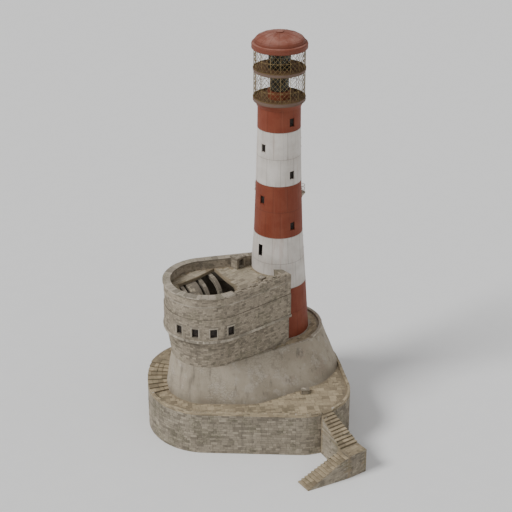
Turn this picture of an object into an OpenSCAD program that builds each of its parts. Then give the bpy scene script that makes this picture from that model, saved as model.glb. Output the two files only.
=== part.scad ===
// Red and white lighthouse on an old round fort, with its battered base, paved terrace and stair.
// Millimetres. The origin is on the shaft's axis at floor level, +Z up, and +X runs from the
// centre of the fort's round bastion to the shaft.

/* [Levels] */
// Height of the terrace paving above the floor
terrace_h = 4550; // [3600:10:4800]
// Height of the battered base above the terrace
base_rise = 3850; // [3200:10:4600]
// Height of the fort's plain lower storey, from the ledge to the string course
podium_h = 3010; // [2500:10:3600]
// Height of the fort's window storey, from the string course to the deck
storey_h = 3990; // [3400:10:4700]
// Height of the parapet above the deck
parapet_h = 980; // [800:10:1200]

/* [Shaft] */
// Height of one painted band of the shaft
band_h = 5480; // [4600:10:5600]
// Height of the short band under the gallery
top_band_h = 2160; // [1800:10:2600]
// Outer radius of the shaft at its foot
foot_r = 3190; // [2900:10:3600]
// Radius of the round well inside the shaft
well_r = 1700; // [1400:10:1850]
// Width of a shaft window
slit_w = 520; // [400:10:640]
// Height of a shaft window
slit_h = 830; // [700:10:1000]

/* [Gallery and lantern] */
// Radius of the gallery, to the outside of its rim
gallery_r = 2520; // [2400:10:2900]
// Clear height of the lower gallery, from its deck to the upper deck
lower_clear = 2710; // [2300:10:3000]
// Clear height of the upper gallery, from its deck to the roof
upper_clear = 1960; // [1800:10:2300]
// Radius of the lantern room, to the outside of its panes
lantern_r = 1060; // [1000:10:1250]
// How far the roof's rim reaches past the gallery's
roof_over = 160; // [60:10:400]
// Number of panels in each ring of the gallery cage
cage_panels = 16; // [12:1:24]

/* [Fort] */
// Distance from the shaft's axis to the centre of the bastion
bastion_x = 8540; // [8000:10:9200]
// Outer radius of the bastion's wall at the deck
bastion_r = 4260; // [3900:10:4600]
// Thickness of the fort's walls
wall_t = 800; // [500:10:1000]
// Thickness of the deck slab
deck_t = 300; // [300:10:500]
// Width of a fort window
port_w = 670; // [500:10:800]
// Height of a fort window
port_h = 920; // [700:10:1100]

/* [Terrace and stair] */
// Width of the walkway round the bastion
walk_w = 1820; // [1400:10:2200]
// Radius of the round front of the terrace
lobe_r = 5110; // [4600:10:5600]
// Thickness of the retaining walls
retain_t = 500; // [350:10:700]
// Clear width of the stair
stair_w = 1330; // [1100:10:1600]
// Number of risers in the upper flight
upper_risers = 11; // [9:1:13]
// Number of risers in the lower flight
lower_risers = 14; // [12:1:16]

/* [Hidden] */

// Colours of the painted and bare surfaces
red = [0.50, 0.20, 0.13];
white = [0.72, 0.71, 0.67];
stone = [0.58, 0.54, 0.46];
paving = [0.66, 0.58, 0.44];
iron = [0.38, 0.34, 0.31];
brass = [0.60, 0.52, 0.34];
glass = [0.45, 0.52, 0.52];
dark = [0.16, 0.15, 0.14];

$fn = 240;
gap = 4; // clearance between pieces that only lie beside each other
big = 60000;

// Levels worked out from the driving heights
ledge_z = terrace_h + base_rise;
string_z = ledge_z + podium_h;
string_t = 280;
string_step = 110;
wall_z = string_z + string_t;
deck_z = string_z + storey_h;
course_z = string_z + 2550;
rim_z = deck_z + parapet_h;

function dir(a) = [cos(a), sin(a)];

// Circles that the plan is built from: centres and radii
bastion_c = [-bastion_x, 0];
podium_r = bastion_r - 560;
string_r = bastion_r + 190;
window_wall_r = bastion_r + 80;
toe_r = bastion_r + 150;
walk_r = toe_r + walk_w;
lobe_c = [-1970, -6480];
shelf_r = 4620;
apron_c = [-180, -1230];
apron_r = 5740;
belly_c = [-5810, -2940];
belly_r = 3640;

// Angles of the two straight walls that join the bastion to the shaft, and their lengths
front_dir = 4;
back_dir = -22;
front_len = 7130;
back_len = 5750;
wing_end = 1900;

// Four-sided polygon between two circles, a little inside their common tangents
tuck = 15;
function tangent_quad(c1, r1, c2, r2) =
    let (
        d = c2 - c1,
        a = atan2(d[1], d[0]),
        b = acos((r1 - r2) / norm(d))
    )
    [
        c1 + (r1 - tuck) * dir(a + b), c2 + (r2 - tuck) * dir(a + b),
        c2 + (r2 - tuck) * dir(a - b), c1 + (r1 - tuck) * dir(a - b)
    ];

module disc(c, r) {
    translate(c) circle(r = r);
}

module slab(z0, z1) {
    translate([0, 0, z0]) linear_extrude(z1 - z0) children();
}

// A wedge of plan round a centre, between two angles less than 180 degrees apart
module wedge(c, a0, a1, reach = big) {
    mid = (a0 + a1) / 2;
    polygon([c, c + reach * dir(a0), c + 1.5 * reach * dir(mid), c + reach * dir(a1)]);
}

// ---------------------------------------------------------------- shaft

// Outer radii of the shaft where the bands meet, from the foot up
band_r = [foot_r, foot_r - 360, foot_r - 750, foot_r - 950, foot_r - 1080, foot_r - 1100];
bands = len(band_r) - 1;
function band_z(k) = ledge_z + (k < bands ? k * band_h : (bands - 1) * band_h + top_band_h);
neck_z = band_z(bands);
neck_r = band_r[bands];

// Shaft windows: [angle, height of the centre above the ledge], two columns on each side
pitch = band_h * 0.4908;
tall_z = ledge_z + 1.7 * band_h;
tall_h = 1250;
front_angle = -90;
side_angle = -170;
back_angle = -25;
function slit_z(k) = tall_z + 120 + k * pitch;
// Even windows from the tall one up are on the side column, odd ones on the front column
slits = [for (k = [0:5]) [k % 2 == 0 ? side_angle : front_angle, slit_z(k), k == 0 ? tall_h : slit_h]];
back_slits = [for (k = [0:5]) [k % 2 == 0 ? back_angle : 90, slit_z(k), k == 0 ? tall_h : slit_h]];
all_slits = concat(slits, back_slits);

balcony_z = slit_z(2) - 40;
balcony_angles = [back_angle, 113];

function shaft_r(z) =
    let (k = max([for (i = [0:bands - 1]) band_z(i) <= z ? i : 0]))
    band_r[k] + (band_r[k + 1] - band_r[k]) * (z - band_z(k)) / (band_z(k + 1) - band_z(k));

module slit_opening(s, w, reach) {
    rotate([0, 0, s[0]]) translate([0, -w / 2, s[1] - s[2] / 2]) cube([reach, w, s[2]]);
}

module shaft_solid() {
    for (k = [0:bands - 1])
        translate([0, 0, band_z(k)])
            cylinder(r1 = band_r[k], r2 = band_r[k + 1], h = band_z(k + 1) - band_z(k));
}

module shaft_band(k, tint) {
    color(tint) difference() {
        translate([0, 0, band_z(k)])
            cylinder(r1 = band_r[k], r2 = band_r[k + 1], h = band_z(k + 1) - band_z(k));
        translate([0, 0, band_z(k) - 10]) cylinder(r = well_r, h = band_z(k + 1) - band_z(k) + 20);
        for (s = all_slits)
            if (s[1] + s[2] / 2 > band_z(k) && s[1] - s[2] / 2 < band_z(k + 1))
                slit_opening(s, slit_w, big / 10);
    }
}

// Each window: a frame round a pane with one bar, set back in the wall
frame_t = 60;
pane_t = 16;
reveal = 140;
module sash(w, h) {
    difference() {
        cube([frame_t, w, h]);
        translate([-1, frame_t, frame_t]) cube([frame_t + 2, w - 2 * frame_t, h - 2 * frame_t]);
    }
    translate([(frame_t - pane_t) / 2, frame_t, frame_t]) cube([pane_t, w - 2 * frame_t, h - 2 * frame_t]);
    translate([frame_t / 4, frame_t, h / 2 - 15]) cube([frame_t / 2, w - 2 * frame_t, 30]);
}

module shaft_windows() {
    color(dark) for (s = all_slits)
        if (s[2] == slit_h)
            rotate([0, 0, s[0]])
                translate([shaft_r(s[1]) - reveal - frame_t, -slit_w / 2 + gap, s[1] - s[2] / 2])
                    sash(slit_w - 2 * gap, s[2] - gap);
}

// Half-round balcony: a dished bracket, a kerb and a rail, all ending on the shaft
balcony_r = 420;
balcony_rail_h = 770;
balcony_bars = 7;
module side_balcony() {
    difference() {
        translate([shaft_r(balcony_z) - 40, 0, balcony_z]) {
            translate([0, 0, -520]) cylinder(r1 = 120, r2 = balcony_r, h = 440);
            translate([0, 0, -80]) cylinder(r = balcony_r + 30, h = 80);
            for (i = [0:balcony_bars - 1]) {
                a = -76 + 152 * i / (balcony_bars - 1);
                translate((balcony_r - 25) * [cos(a), sin(a), 0])
                    cylinder(r = 14, h = balcony_rail_h - 5, $fn = 8);
            }
            for (z = [balcony_rail_h / 2, balcony_rail_h - 20])
                translate([0, 0, z]) difference() {
                    cylinder(r = balcony_r - 8, h = 30);
                    translate([0, 0, -1]) cylinder(r = balcony_r - 42, h = 32);
                }
        }
        shaft_solid();
        translate([0, -big / 2, 0]) mirror([1, 0, 0]) cube([big, big, big]);
    }
}

module side_balconies() {
    color(red) for (a = balcony_angles) rotate([0, 0, a]) side_balcony();
}

// ---------------------------------------------------------------- gallery and lantern

corbel_h = 560;
rim_h = 350;
gallery_z = neck_z + corbel_h + 200;
upper_z = gallery_z + lower_clear;
upper_t = 250;
roof_z = upper_z + upper_t + upper_clear;
murette_h = 780;
murette_t = 320;
lower_inset = 160;
pane_count = 12;

module gallery_floor() {
    color(red) rotate_extrude() polygon([
        [0, neck_z], [neck_r, neck_z], [neck_r + 70, neck_z + 50], [neck_r + 170, neck_z + corbel_h / 2],
        [gallery_r - 120, neck_z + corbel_h - 90], [gallery_r - 40, neck_z + corbel_h],
        [gallery_r - 40, gallery_z - 60], [0, gallery_z - 60]
    ]);
}

module gallery_rim() {
    color(iron) rotate_extrude() polygon([
        [0, gallery_z - 60], [gallery_r - 40, gallery_z - 60], [gallery_r - 40, neck_z + corbel_h],
        [gallery_r, neck_z + corbel_h], [gallery_r, neck_z + corbel_h + rim_h],
        [gallery_r - 110, neck_z + corbel_h + rim_h], [gallery_r - 110, gallery_z], [0, gallery_z]
    ]);
}

module lantern_wall() {
    color(red) rotate_extrude() polygon([
        [lantern_r - murette_t, gallery_z], [lantern_r + 20, gallery_z],
        [lantern_r + 20, gallery_z + murette_h - 90],
        [lantern_r + 90, gallery_z + murette_h - 60], [lantern_r + 90, gallery_z + murette_h],
        [lantern_r - murette_t, gallery_z + murette_h]
    ]);
}

// A ring of flat panes between uprights, with a rail at the foot and the head
module glazing(z0, z1, r) {
    side = 2 * (r - 40) * tan(180 / pane_count);
    for (i = [0:pane_count - 1]) rotate([0, 0, i * 360 / pane_count]) {
        translate([r - 48, -side / 2 + 34, z0 + 60]) cube([12, side - 68, z1 - z0 - 120]);
    }
}

module glazing_bars(z0, z1, r) {
    corner = (r - 40) / cos(180 / pane_count);
    for (i = [0:pane_count - 1]) rotate([0, 0, (i + 0.5) * 360 / pane_count])
        translate([corner - 30, -30, z0 + 60]) cube([60, 60, z1 - z0 - 120]);
    for (z = [z0, z1 - 60]) translate([0, 0, z]) difference() {
        cylinder(r = r + 20, h = 60);
        translate([0, 0, -1]) cylinder(r = r - 110, h = 62);
    }
}

module lantern_lower_glazing() {
    color(glass) {
        glazing(gallery_z + murette_h, upper_z, lantern_r - lower_inset);
        glazing_bars(gallery_z + murette_h, upper_z, lantern_r - lower_inset);
    }
}

module lantern_upper_glazing() {
    color(glass) {
        glazing(upper_z + upper_t, roof_z, lantern_r);
        glazing_bars(upper_z + upper_t, roof_z, lantern_r);
    }
}

// Drum lens on a pedestal
lens_r = 520;
module lantern_lens() {
    color(brass) rotate_extrude() polygon([
        [0, gallery_z], [330, gallery_z], [330, gallery_z + 60], [180, gallery_z + 120],
        [180, gallery_z + 900], [lens_r - 60, gallery_z + 960], [lens_r, gallery_z + 1080],
        [lens_r, gallery_z + 2050], [lens_r - 200, gallery_z + 2350], [0, gallery_z + 2420]
    ]);
}

module upper_deck() {
    color(iron) rotate_extrude() polygon([
        [0, upper_z], [gallery_r - 30, upper_z], [gallery_r - 30, upper_z + 40], [gallery_r, upper_z + 60],
        [gallery_r, upper_z + upper_t + 40], [gallery_r - 70, upper_z + upper_t + 40],
        [gallery_r - 70, upper_z + upper_t], [0, upper_z + upper_t]
    ]);
}

// One flat cage panel of crossing bars in a frame, standing on the XY plane and facing +X
cage_bar = 26;
module cage_panel(w, h, cells_high) {
    cells_wide = 2;
    rotate([90, 0, 90]) linear_extrude(cage_bar) {
        difference() {
            translate([-w / 2, 0]) square([w, h]);
            translate([-w / 2 + cage_bar, cage_bar]) square([w - 2 * cage_bar, h - 2 * cage_bar]);
        }
        intersection() {
            translate([-w / 2, 0]) square([w, h]);
            for (i = [-cells_high:cells_wide], s = [-1, 1]) {
                dx = w / cells_wide;
                dy = h / cells_high;
                a = s * atan2(dy, dx);
                translate([-w / 2 * s + i * dx * s, 0]) rotate(s > 0 ? a : 180 + a)
                    translate([0, -cage_bar / 3]) square([norm([h * dx / dy, h]), cage_bar / 1.5]);
            }
        }
    }
}

module cage(z0, z1, cells_high) {
    side = 2 * (gallery_r - 60) * tan(180 / cage_panels) - 2 * gap;
    color(brass) for (i = [0:cage_panels - 1]) rotate([0, 0, (i + 0.5) * 360 / cage_panels])
        translate([gallery_r - 60 - cage_bar, 0, z0]) cage_panel(side, z1 - z0, cells_high);
}

module cage_lower() {
    cage(neck_z + corbel_h + rim_h, upper_z, 4);
}

module cage_upper() {
    cage(upper_z + upper_t + 40, roof_z, 3);
}

// Sheet-metal roof: a rolled rim, a groove, a low dome, and a flat cap on its crown
roof_r = gallery_r + roof_over;
roof_rim_h = 580;
groove_h = 60;
dome_h = 860;
dome_r = roof_r - 250;
cap_r = 330;
cap_h = 70;
cap_z = roof_z + roof_rim_h + groove_h + dome_h * sqrt(1 - pow(cap_r / dome_r, 2));
module roof() {
    color(red) rotate_extrude() polygon(concat(
        [
            [0, roof_z], [roof_r - 60, roof_z], [roof_r, roof_z + 60], [roof_r, roof_z + roof_rim_h - 160],
            [roof_r - 40, roof_z + roof_rim_h - 50], [roof_r - 110, roof_z + roof_rim_h],
            [dome_r, roof_z + roof_rim_h]
        ],
        [
            for (a = [0:9:72])
                [dome_r * cos(a), roof_z + roof_rim_h + groove_h + dome_h * sin(a)]
        ],
        [[cap_r, cap_z], [cap_r, cap_z + cap_h], [0, cap_z + cap_h]]
    ));
}

// ---------------------------------------------------------------- fort

// The fort between two levels, inside a given radius: the round bastion and the two walls that
// meet the shaft. back_off draws the end wall of the front wing back.
module fort_mass(z0, z1, r, back_off = 0) {
    front_n = [sin(front_dir), -cos(front_dir)];
    back_n = [-sin(back_dir), cos(back_dir)];
    side = r - tuck;
    corner = bastion_c + side * front_n + (front_len - back_off) * dir(front_dir);
    union() {
        slab(z0, z1) disc(bastion_c, r);
        slab(z0, z1) polygon([
            bastion_c, bastion_c + side * front_n, corner, corner - wing_end * front_n, [0, 0],
            bastion_c + side * back_n + back_len * dir(back_dir), bastion_c + side * back_n
        ]);
    }
}

module fort_ring(z0, z1, r, t) {
    difference() {
        fort_mass(z0, z1, r);
        fort_mass(z0 - 10, z1 + 10, r - t, t);
    }
}

// The shaft's outside, with a running joint round it
module shaft_clear() {
    for (k = [0:bands - 1])
        translate([0, 0, band_z(k) - (k == 0 ? 50 : 0)])
            cylinder(
                r1 = band_r[k] + gap, r2 = band_r[k + 1] + gap,
                h = band_z(k + 1) - band_z(k) + (k == 0 ? 50 : 0)
            );
}

// Angles round the bastion that part the wall's segments
split_a = -80;
split_b = 120;
split_c = 68;
back_split = -10;

ports_front = [-92, -116, -140, -164];
ports_back = [84, 108, 132];
port_z = wall_z + 310;

module port_openings(angles) {
    for (a = angles)
        translate([bastion_c[0], bastion_c[1], port_z]) rotate([0, 0, a])
            translate([bastion_r / 2, -port_w / 2, 0]) cube([bastion_r, port_w, port_h]);
}

module fort_wall(a0, a1, ports) {
    color(stone) difference() {
        intersection() {
            fort_ring(wall_z, course_z, window_wall_r, wall_t);
            slab(wall_z, course_z) wedge(bastion_c, a0, a1);
        }
        port_openings(ports);
        shaft_clear();
    }
}

module fort_wall_front() {
    fort_wall(-180, split_a, ports_front);
}

module fort_wall_left() {
    fort_wall(split_b, 180, [for (a = ports_back) if (a > split_b) a]);
}

module fort_wall_back() {
    fort_wall(back_split, split_b, [for (a = ports_back) if (a < split_b) a]);
}

module fort_wall_wing() {
    fort_wall(split_a, back_split, []);
}

// The plain lower storey leans out under the bastion, and runs out wider along the front wing
wing_spread = 330;
spread_from = 2900;
podium_lean = 430;
module fort_podium() {
    color(stone) difference() {
        union() {
            translate([bastion_c[0], bastion_c[1], ledge_z])
                cylinder(r1 = podium_r, r2 = podium_r + podium_lean, h = podium_h);
            fort_mass(ledge_z, string_z, podium_r);
            slab(ledge_z, string_z) polygon([
                bastion_c, bastion_c + (podium_r - tuck) * dir(front_dir - 90),
                bastion_c + (podium_r + wing_spread) * dir(front_dir - 90) + spread_from * dir(front_dir),
                bastion_c + (podium_r + wing_spread) * dir(front_dir - 90) + front_len * dir(front_dir),
                [0, 0]
            ]);
        }
        shaft_clear();
    }
}

module fort_string_course() {
    color(stone) difference() {
        fort_ring(string_z, wall_z, string_r, wall_t + string_step);
        shaft_clear();
    }
}

module fort_floor() {
    color(stone) difference() {
        fort_mass(string_z, wall_z - 40, string_r - wall_t - string_step - gap, wall_t + string_step + gap);
        shaft_clear();
    }
}

module fort_upper_course() {
    color(stone) difference() {
        fort_ring(course_z, deck_z - deck_t, bastion_r, wall_t);
        shaft_clear();
    }
}

// The hole where the deck has fallen in, over the vault
hole = [
    [-10700, 2000], [-8300, 2200], [-5900, 2850], [-6200, 530], [-6300, -1200],
    [-6900, -2700], [-9000, -3000], [-11200, -1500], [-11300, 500]
];

module fort_deck() {
    color(paving) difference() {
        fort_mass(deck_z - deck_t, deck_z, bastion_r);
        slab(deck_z - deck_t - 10, deck_z + 10) polygon(hole);
        shaft_clear();
    }
}

// Arches and the one piece of shell left of the fallen vault. Its axis runs along X behind the
// middle of the bastion, so each arch dies into the outer wall and stands on a pier in the room.
vault_r = 2150;
rib_t = 400;
rib_w = 380;
shell_t = 260;
vault_y = 2500;
vault_z = deck_z - deck_t - 10 - vault_r;
rib_xs = [-10300, -8050, -6600];
shell_x0 = -9800;
shell_x1 = -8600;

module vault_arch(x0, x1, t) {
    intersection() {
        translate([x0, vault_y, 0]) rotate([90, 0, 90]) linear_extrude(x1 - x0) {
            intersection() {
                translate([0, vault_z]) difference() {
                    circle(r = vault_r);
                    circle(r = vault_r - t);
                }
                translate([-vault_r, vault_z]) square([2 * vault_r, vault_r]);
            }
            translate([-vault_r, wall_z - 40]) square([t, vault_z - wall_z + 40]);
        }
        slab(wall_z - 40, deck_z) disc(bastion_c, bastion_r - wall_t - 0.3);
    }
}

module vault_ribs() {
    color(stone) for (x = rib_xs) vault_arch(x - rib_w / 2, x + rib_w / 2, rib_t);
}

module vault_shell() {
    color(stone) vault_arch(shell_x0, shell_x1, shell_t);
}

module fort_windows() {
    color(dark) for (a = concat(ports_front, ports_back))
        translate([bastion_c[0], bastion_c[1], port_z]) rotate([0, 0, a])
            translate([window_wall_r - reveal - frame_t - 80, -port_w / 2 + gap, 0])
                sash(port_w - 2 * gap, port_h - gap);
}

// The parapet keeps its coping round the bastion and along the back, and is broken low in front
coping_h = 140;
coping_over = 150;
low_h = 700;
parapet_t = 640;
break_front = -84;
break_back = 5;
module parapet_ring() {
    fort_ring(deck_z, rim_z - coping_h, bastion_r + 30, parapet_t);
    fort_ring(rim_z - coping_h, rim_z, bastion_r + coping_over, parapet_t + coping_over - 20);
}

module parapet_bastion() {
    color(stone) intersection() {
        parapet_ring();
        slab(0, big) difference() {
            translate([-big, -big]) square(2 * big);
            wedge(bastion_c, break_front, split_c);
        }
    }
}

module parapet_back() {
    color(stone) difference() {
        intersection() {
            parapet_ring();
            slab(0, big) wedge(bastion_c, break_back, split_c);
        }
        shaft_clear();
    }
}

module parapet_low() {
    color(stone) difference() {
        intersection() {
            fort_ring(deck_z, deck_z + low_h, bastion_r + 30, parapet_t);
            slab(0, big) wedge(bastion_c, break_front, -break_back);
        }
        shaft_clear();
    }
}

// Small hood over the way down from the deck, built against the back parapet
hatch_at = [-3700, 1750];
hatch_turn = 10;
module hatch_hood() {
    w = 1150;
    d = 950;
    h = 1250;
    color(stone) difference() {
        translate([hatch_at[0], hatch_at[1], deck_z]) rotate([0, 0, hatch_turn]) difference() {
            union() {
                translate([-w / 2, -d / 2, 0]) cube([w, d, h - 110]);
                translate([-w / 2 - 60, -d / 2 - 60, h - 110]) cube([w + 120, d + 120, 110]);
            }
            translate([-w / 2 + 220, -d / 2 - 100, 60]) cube([w - 440, d - 100, h - 320]);
        }
        fort_ring(deck_z - 10, deck_z + h + 10, bastion_r + coping_over, parapet_t + coping_over - 20);
    }
}

// Low blocks of squared stone, left standing on the deck and on the terrace
module stone_block(at, size, turn) {
    color(stone) translate(at) rotate([0, 0, turn]) {
        translate([-size[0] / 2, -size[1] / 2, 0]) cube(size);
        translate([-size[0] / 2 - 40, -size[1] / 2 - 40, size[2]]) cube([size[0] + 80, size[1] + 80, 90]);
    }
}

module deck_block() {
    stone_block([-3625, -2250, deck_z], [620, 540, 420], 12);
}

module terrace_block() {
    stone_block([-1970, -7480, terrace_h], [760, 560, 380], -30);
}

// ---------------------------------------------------------------- base and ledge

module battered_base() {
    color(stone) hull() {
        translate([bastion_c[0], bastion_c[1], terrace_h])
            cylinder(r1 = toe_r, r2 = podium_r, h = base_rise, $fn = 64);
        translate([belly_c[0], belly_c[1], terrace_h]) cylinder(r = belly_r, h = 10, $fn = 64);
        translate([apron_c[0], apron_c[1], terrace_h]) cylinder(r = apron_r, h = 10, $fn = 64);
        translate([0, 0, ledge_z - 10]) cylinder(r = shelf_r, h = 10, $fn = 64);
    }
}

// The kerb runs along the front of the ledge, and the railing goes on from it along the back
kerb_from = -75;
kerb_to = 62;
rail_from = 64;
rail_step = 10;
rail_posts = 8;
rail_to = rail_from + rail_step * (rail_posts - 1);
module ledge_kerb() {
    color(stone) slab(ledge_z, ledge_z + 220) intersection() {
        difference() {
            circle(r = shelf_r - 20);
            circle(r = shelf_r - 320);
        }
        wedge([0, 0], kerb_from, kerb_to);
    }
}

module ledge_railing() {
    color(brass) {
        for (i = [0:rail_posts - 1]) rotate([0, 0, rail_from + i * rail_step])
            translate([shelf_r - 150, 0, ledge_z]) cylinder(r = 22, h = 760, $fn = 12);
        for (z = [380, 730]) translate([0, 0, ledge_z + z])
            linear_extrude(30) intersection() {
                difference() {
                    circle(r = shelf_r - 135);
                    circle(r = shelf_r - 165);
                }
                wedge([0, 0], rail_from, rail_to);
            }
    }
}

// ---------------------------------------------------------------- terrace

back_r = 4900;
back_taper = 250;
rear_r = apron_r + 60;
wing_c = [-1970, -1000];
module terrace_mass(z0, z1, inset = 0) {
    union() {
        slab(z0, z1) disc(bastion_c, walk_r - inset);
        slab(z0, z1) disc(lobe_c, lobe_r - inset);
        slab(z0, z1) disc(apron_c, rear_r - inset);
        slab(z0, z1) polygon(tangent_quad(bastion_c, walk_r - inset, lobe_c, lobe_r - inset));
        slab(z0, z1) polygon(tangent_quad(lobe_c, lobe_r - inset, apron_c, rear_r - inset));
        slab(z0, z1) polygon(tangent_quad(bastion_c, back_r - back_taper - inset, [0, 0], back_r - inset));
    }
}

paving_t = 120;
kerb_w = 240;
kerb_h = 200;
// The walkway climbs beside the bastion between these angles, and goes on level behind it
step_a0 = 168;
step_a1 = 122;
landing_a1 = 66;
step_count = 8;
step_rise = 150;
landing_z = terrace_h + step_count * step_rise;

module walk_sector(a0, a1, inset = 0) {
    intersection() {
        difference() {
            disc(bastion_c, walk_r - inset);
            disc(bastion_c, toe_r - 150);
        }
        wedge(bastion_c, a0, a1);
    }
}

module terrace_core() {
    color(stone) terrace_mass(0, terrace_h - paving_t, retain_t + gap);
}

// The retaining wall, in the part of the plan that its children cover
module terrace_wall() {
    color(stone) intersection() {
        difference() {
            terrace_mass(0, terrace_h - paving_t);
            terrace_mass(-10, terrace_h, retain_t);
        }
        slab(0, terrace_h) children();
    }
}

wall_joint_x = -3600;
module terrace_wall_left() {
    terrace_wall() wedge(bastion_c, 120, 215);
}

module terrace_wall_front() {
    terrace_wall() difference() {
        wedge(bastion_c, -145, -40);
        translate([wall_joint_x, -big]) square([2 * big, 2 * big]);
    }
}

module terrace_wall_lobe() {
    terrace_wall() difference() {
        wedge(wing_c, -170, -20);
        translate([wall_joint_x - big, -big]) square([big, 2 * big]);
    }
}

module terrace_wall_right() {
    terrace_wall() wedge(wing_c, -20, 90);
}

module terrace_wall_back() {
    terrace_wall() difference() {
        wedge(bastion_c, -5, 120);
        translate([wing_c[0], -big]) square([big, 2 * big]);
    }
}

module terrace_paving() {
    color(paving) terrace_mass(terrace_h - paving_t, terrace_h);
}

// Angles between which the terrace keeps its kerb: round the walkway, and round the front
kerb_left = [169, 240];
kerb_right = [-120, -20];
module terrace_kerb() {
    color(paving) difference() {
        intersection() {
            difference() {
                terrace_mass(terrace_h, terrace_h + kerb_h);
                terrace_mass(terrace_h - 10, terrace_h + kerb_h + 10, kerb_w);
            }
            union() {
                slab(terrace_h, terrace_h + kerb_h) wedge(bastion_c, kerb_left[0], kerb_left[1]);
                slab(terrace_h, terrace_h + kerb_h) wedge(bastion_c, kerb_right[0], kerb_right[1]);
            }
        }
        translate([stair_x - stair_w / 2, stair_y - 1500, 0]) cube([stair_w, 3000, big]);
    }
}

module side_steps() {
    turn = (step_a1 - step_a0) / step_count;
    color(paving) difference() {
        for (i = [0:step_count - 1])
            slab(terrace_h, terrace_h + (i + 1) * step_rise)
                walk_sector(step_a0 + turn * (i + 1), step_a0 + turn * i);
        battered_base();
    }
}

module side_landing() {
    color(paving) difference() {
        slab(terrace_h, landing_z) walk_sector(landing_a1, step_a1);
        battered_base();
    }
}

// ---------------------------------------------------------------- stair

stair_x = -2340;
stair_y = -11500;
landing_h = 2520;
landing_w = 2150;
landing_d = 1470;
foot_w = 1660;
upper_going = 345;
lower_going = 338;
upper_end = stair_y - (upper_risers - 1) * upper_going;
landing_x = stair_x - landing_w / 2;
foot_x = landing_x - (lower_risers - 1) * lower_going;
foot_y = upper_end + 830;

// A flight of solid steps between two side lines: a0 to a1 and b0 to b1, each seen in plan
module flight(a0, b0, a1, b1, risers, z_top, z_foot) {
    treads = risers - 1;
    rise = (z_top - z_foot) / risers;
    for (i = [1:treads])
        slab(0, z_top - i * rise) polygon([
            a0 + (a1 - a0) * (i - 1) / treads, b0 + (b1 - b0) * (i - 1) / treads,
            b0 + (b1 - b0) * i / treads, a0 + (a1 - a0) * i / treads
        ]);
}

module stair_upper_flight() {
    color(paving) difference() {
        flight(
            [stair_x - stair_w / 2, stair_y], [stair_x + stair_w / 2, stair_y],
            [landing_x, upper_end], [landing_x + landing_w, upper_end],
            upper_risers, terrace_h, landing_h
        );
        terrace_mass(-10, terrace_h + 10);
    }
}

module stair_landing() {
    color(paving) translate([landing_x, upper_end - landing_d, 0]) cube([landing_w, landing_d, landing_h]);
}

module stair_lower_flight() {
    color(paving) flight(
        [landing_x, upper_end - landing_d], [landing_x, upper_end],
        [foot_x, foot_y - foot_w], [foot_x + 60, foot_y],
        lower_risers, landing_h, 0
    );
}

terrace_core();
terrace_wall_left();
terrace_wall_front();
terrace_wall_lobe();
terrace_wall_right();
terrace_wall_back();
terrace_paving();
terrace_kerb();
side_steps();
side_landing();
stair_upper_flight();
stair_landing();
stair_lower_flight();
battered_base();
ledge_kerb();
ledge_railing();
fort_podium();
fort_string_course();
fort_floor();
fort_wall_front();
fort_wall_left();
fort_wall_back();
fort_wall_wing();
fort_upper_course();
fort_windows();
vault_ribs();
vault_shell();
fort_deck();
parapet_bastion();
parapet_back();
parapet_low();
hatch_hood();
deck_block();
terrace_block();
shaft_band(0, red);  // shaft_foot_band
shaft_band(1, white);  // shaft_lower_band
shaft_band(2, red);  // shaft_middle_band
shaft_band(3, white);  // shaft_upper_band
shaft_band(4, red);  // shaft_top_band
shaft_windows();
side_balconies();
gallery_floor();
gallery_rim();
lantern_wall();
lantern_lower_glazing();
lantern_upper_glazing();
lantern_lens();
upper_deck();
cage_lower();
cage_upper();
roof();
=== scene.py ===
import math

import bpy
import numpy as np
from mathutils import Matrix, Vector


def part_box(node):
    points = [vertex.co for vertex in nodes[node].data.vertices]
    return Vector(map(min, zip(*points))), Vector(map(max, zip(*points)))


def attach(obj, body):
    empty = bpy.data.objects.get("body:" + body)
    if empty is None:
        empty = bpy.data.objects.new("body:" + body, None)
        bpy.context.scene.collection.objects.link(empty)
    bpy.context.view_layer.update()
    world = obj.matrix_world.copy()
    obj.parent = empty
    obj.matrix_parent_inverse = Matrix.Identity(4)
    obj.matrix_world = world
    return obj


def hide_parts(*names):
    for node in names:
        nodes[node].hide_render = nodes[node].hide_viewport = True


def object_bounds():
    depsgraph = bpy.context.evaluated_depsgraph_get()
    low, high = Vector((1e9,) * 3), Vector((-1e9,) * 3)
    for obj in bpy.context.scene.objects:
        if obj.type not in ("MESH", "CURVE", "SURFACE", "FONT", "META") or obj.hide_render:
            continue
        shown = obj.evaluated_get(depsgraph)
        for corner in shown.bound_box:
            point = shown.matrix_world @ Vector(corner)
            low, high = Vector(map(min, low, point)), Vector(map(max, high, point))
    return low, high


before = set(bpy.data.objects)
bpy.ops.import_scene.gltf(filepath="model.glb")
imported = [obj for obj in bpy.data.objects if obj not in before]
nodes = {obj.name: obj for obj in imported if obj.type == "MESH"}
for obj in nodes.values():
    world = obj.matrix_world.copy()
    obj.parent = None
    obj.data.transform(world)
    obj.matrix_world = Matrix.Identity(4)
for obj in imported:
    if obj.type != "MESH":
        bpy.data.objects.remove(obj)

cad_box = [list(corner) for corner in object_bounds()]

# ---------------------------------------------------------------- stage, light and camera
# A pale floor at the foot of the walls, a bright overcast sky, and one broad key light from the
# front left, so that the round walls turn softly from light to shade.
TURN = math.radians(-35)


def turned(x, y, z):
    """A point given across, into and up the view, in the object's own frame."""
    c, s = math.cos(TURN), math.sin(TURN)
    return Vector((x * c - y * s, x * s + y * c, z))


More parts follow.
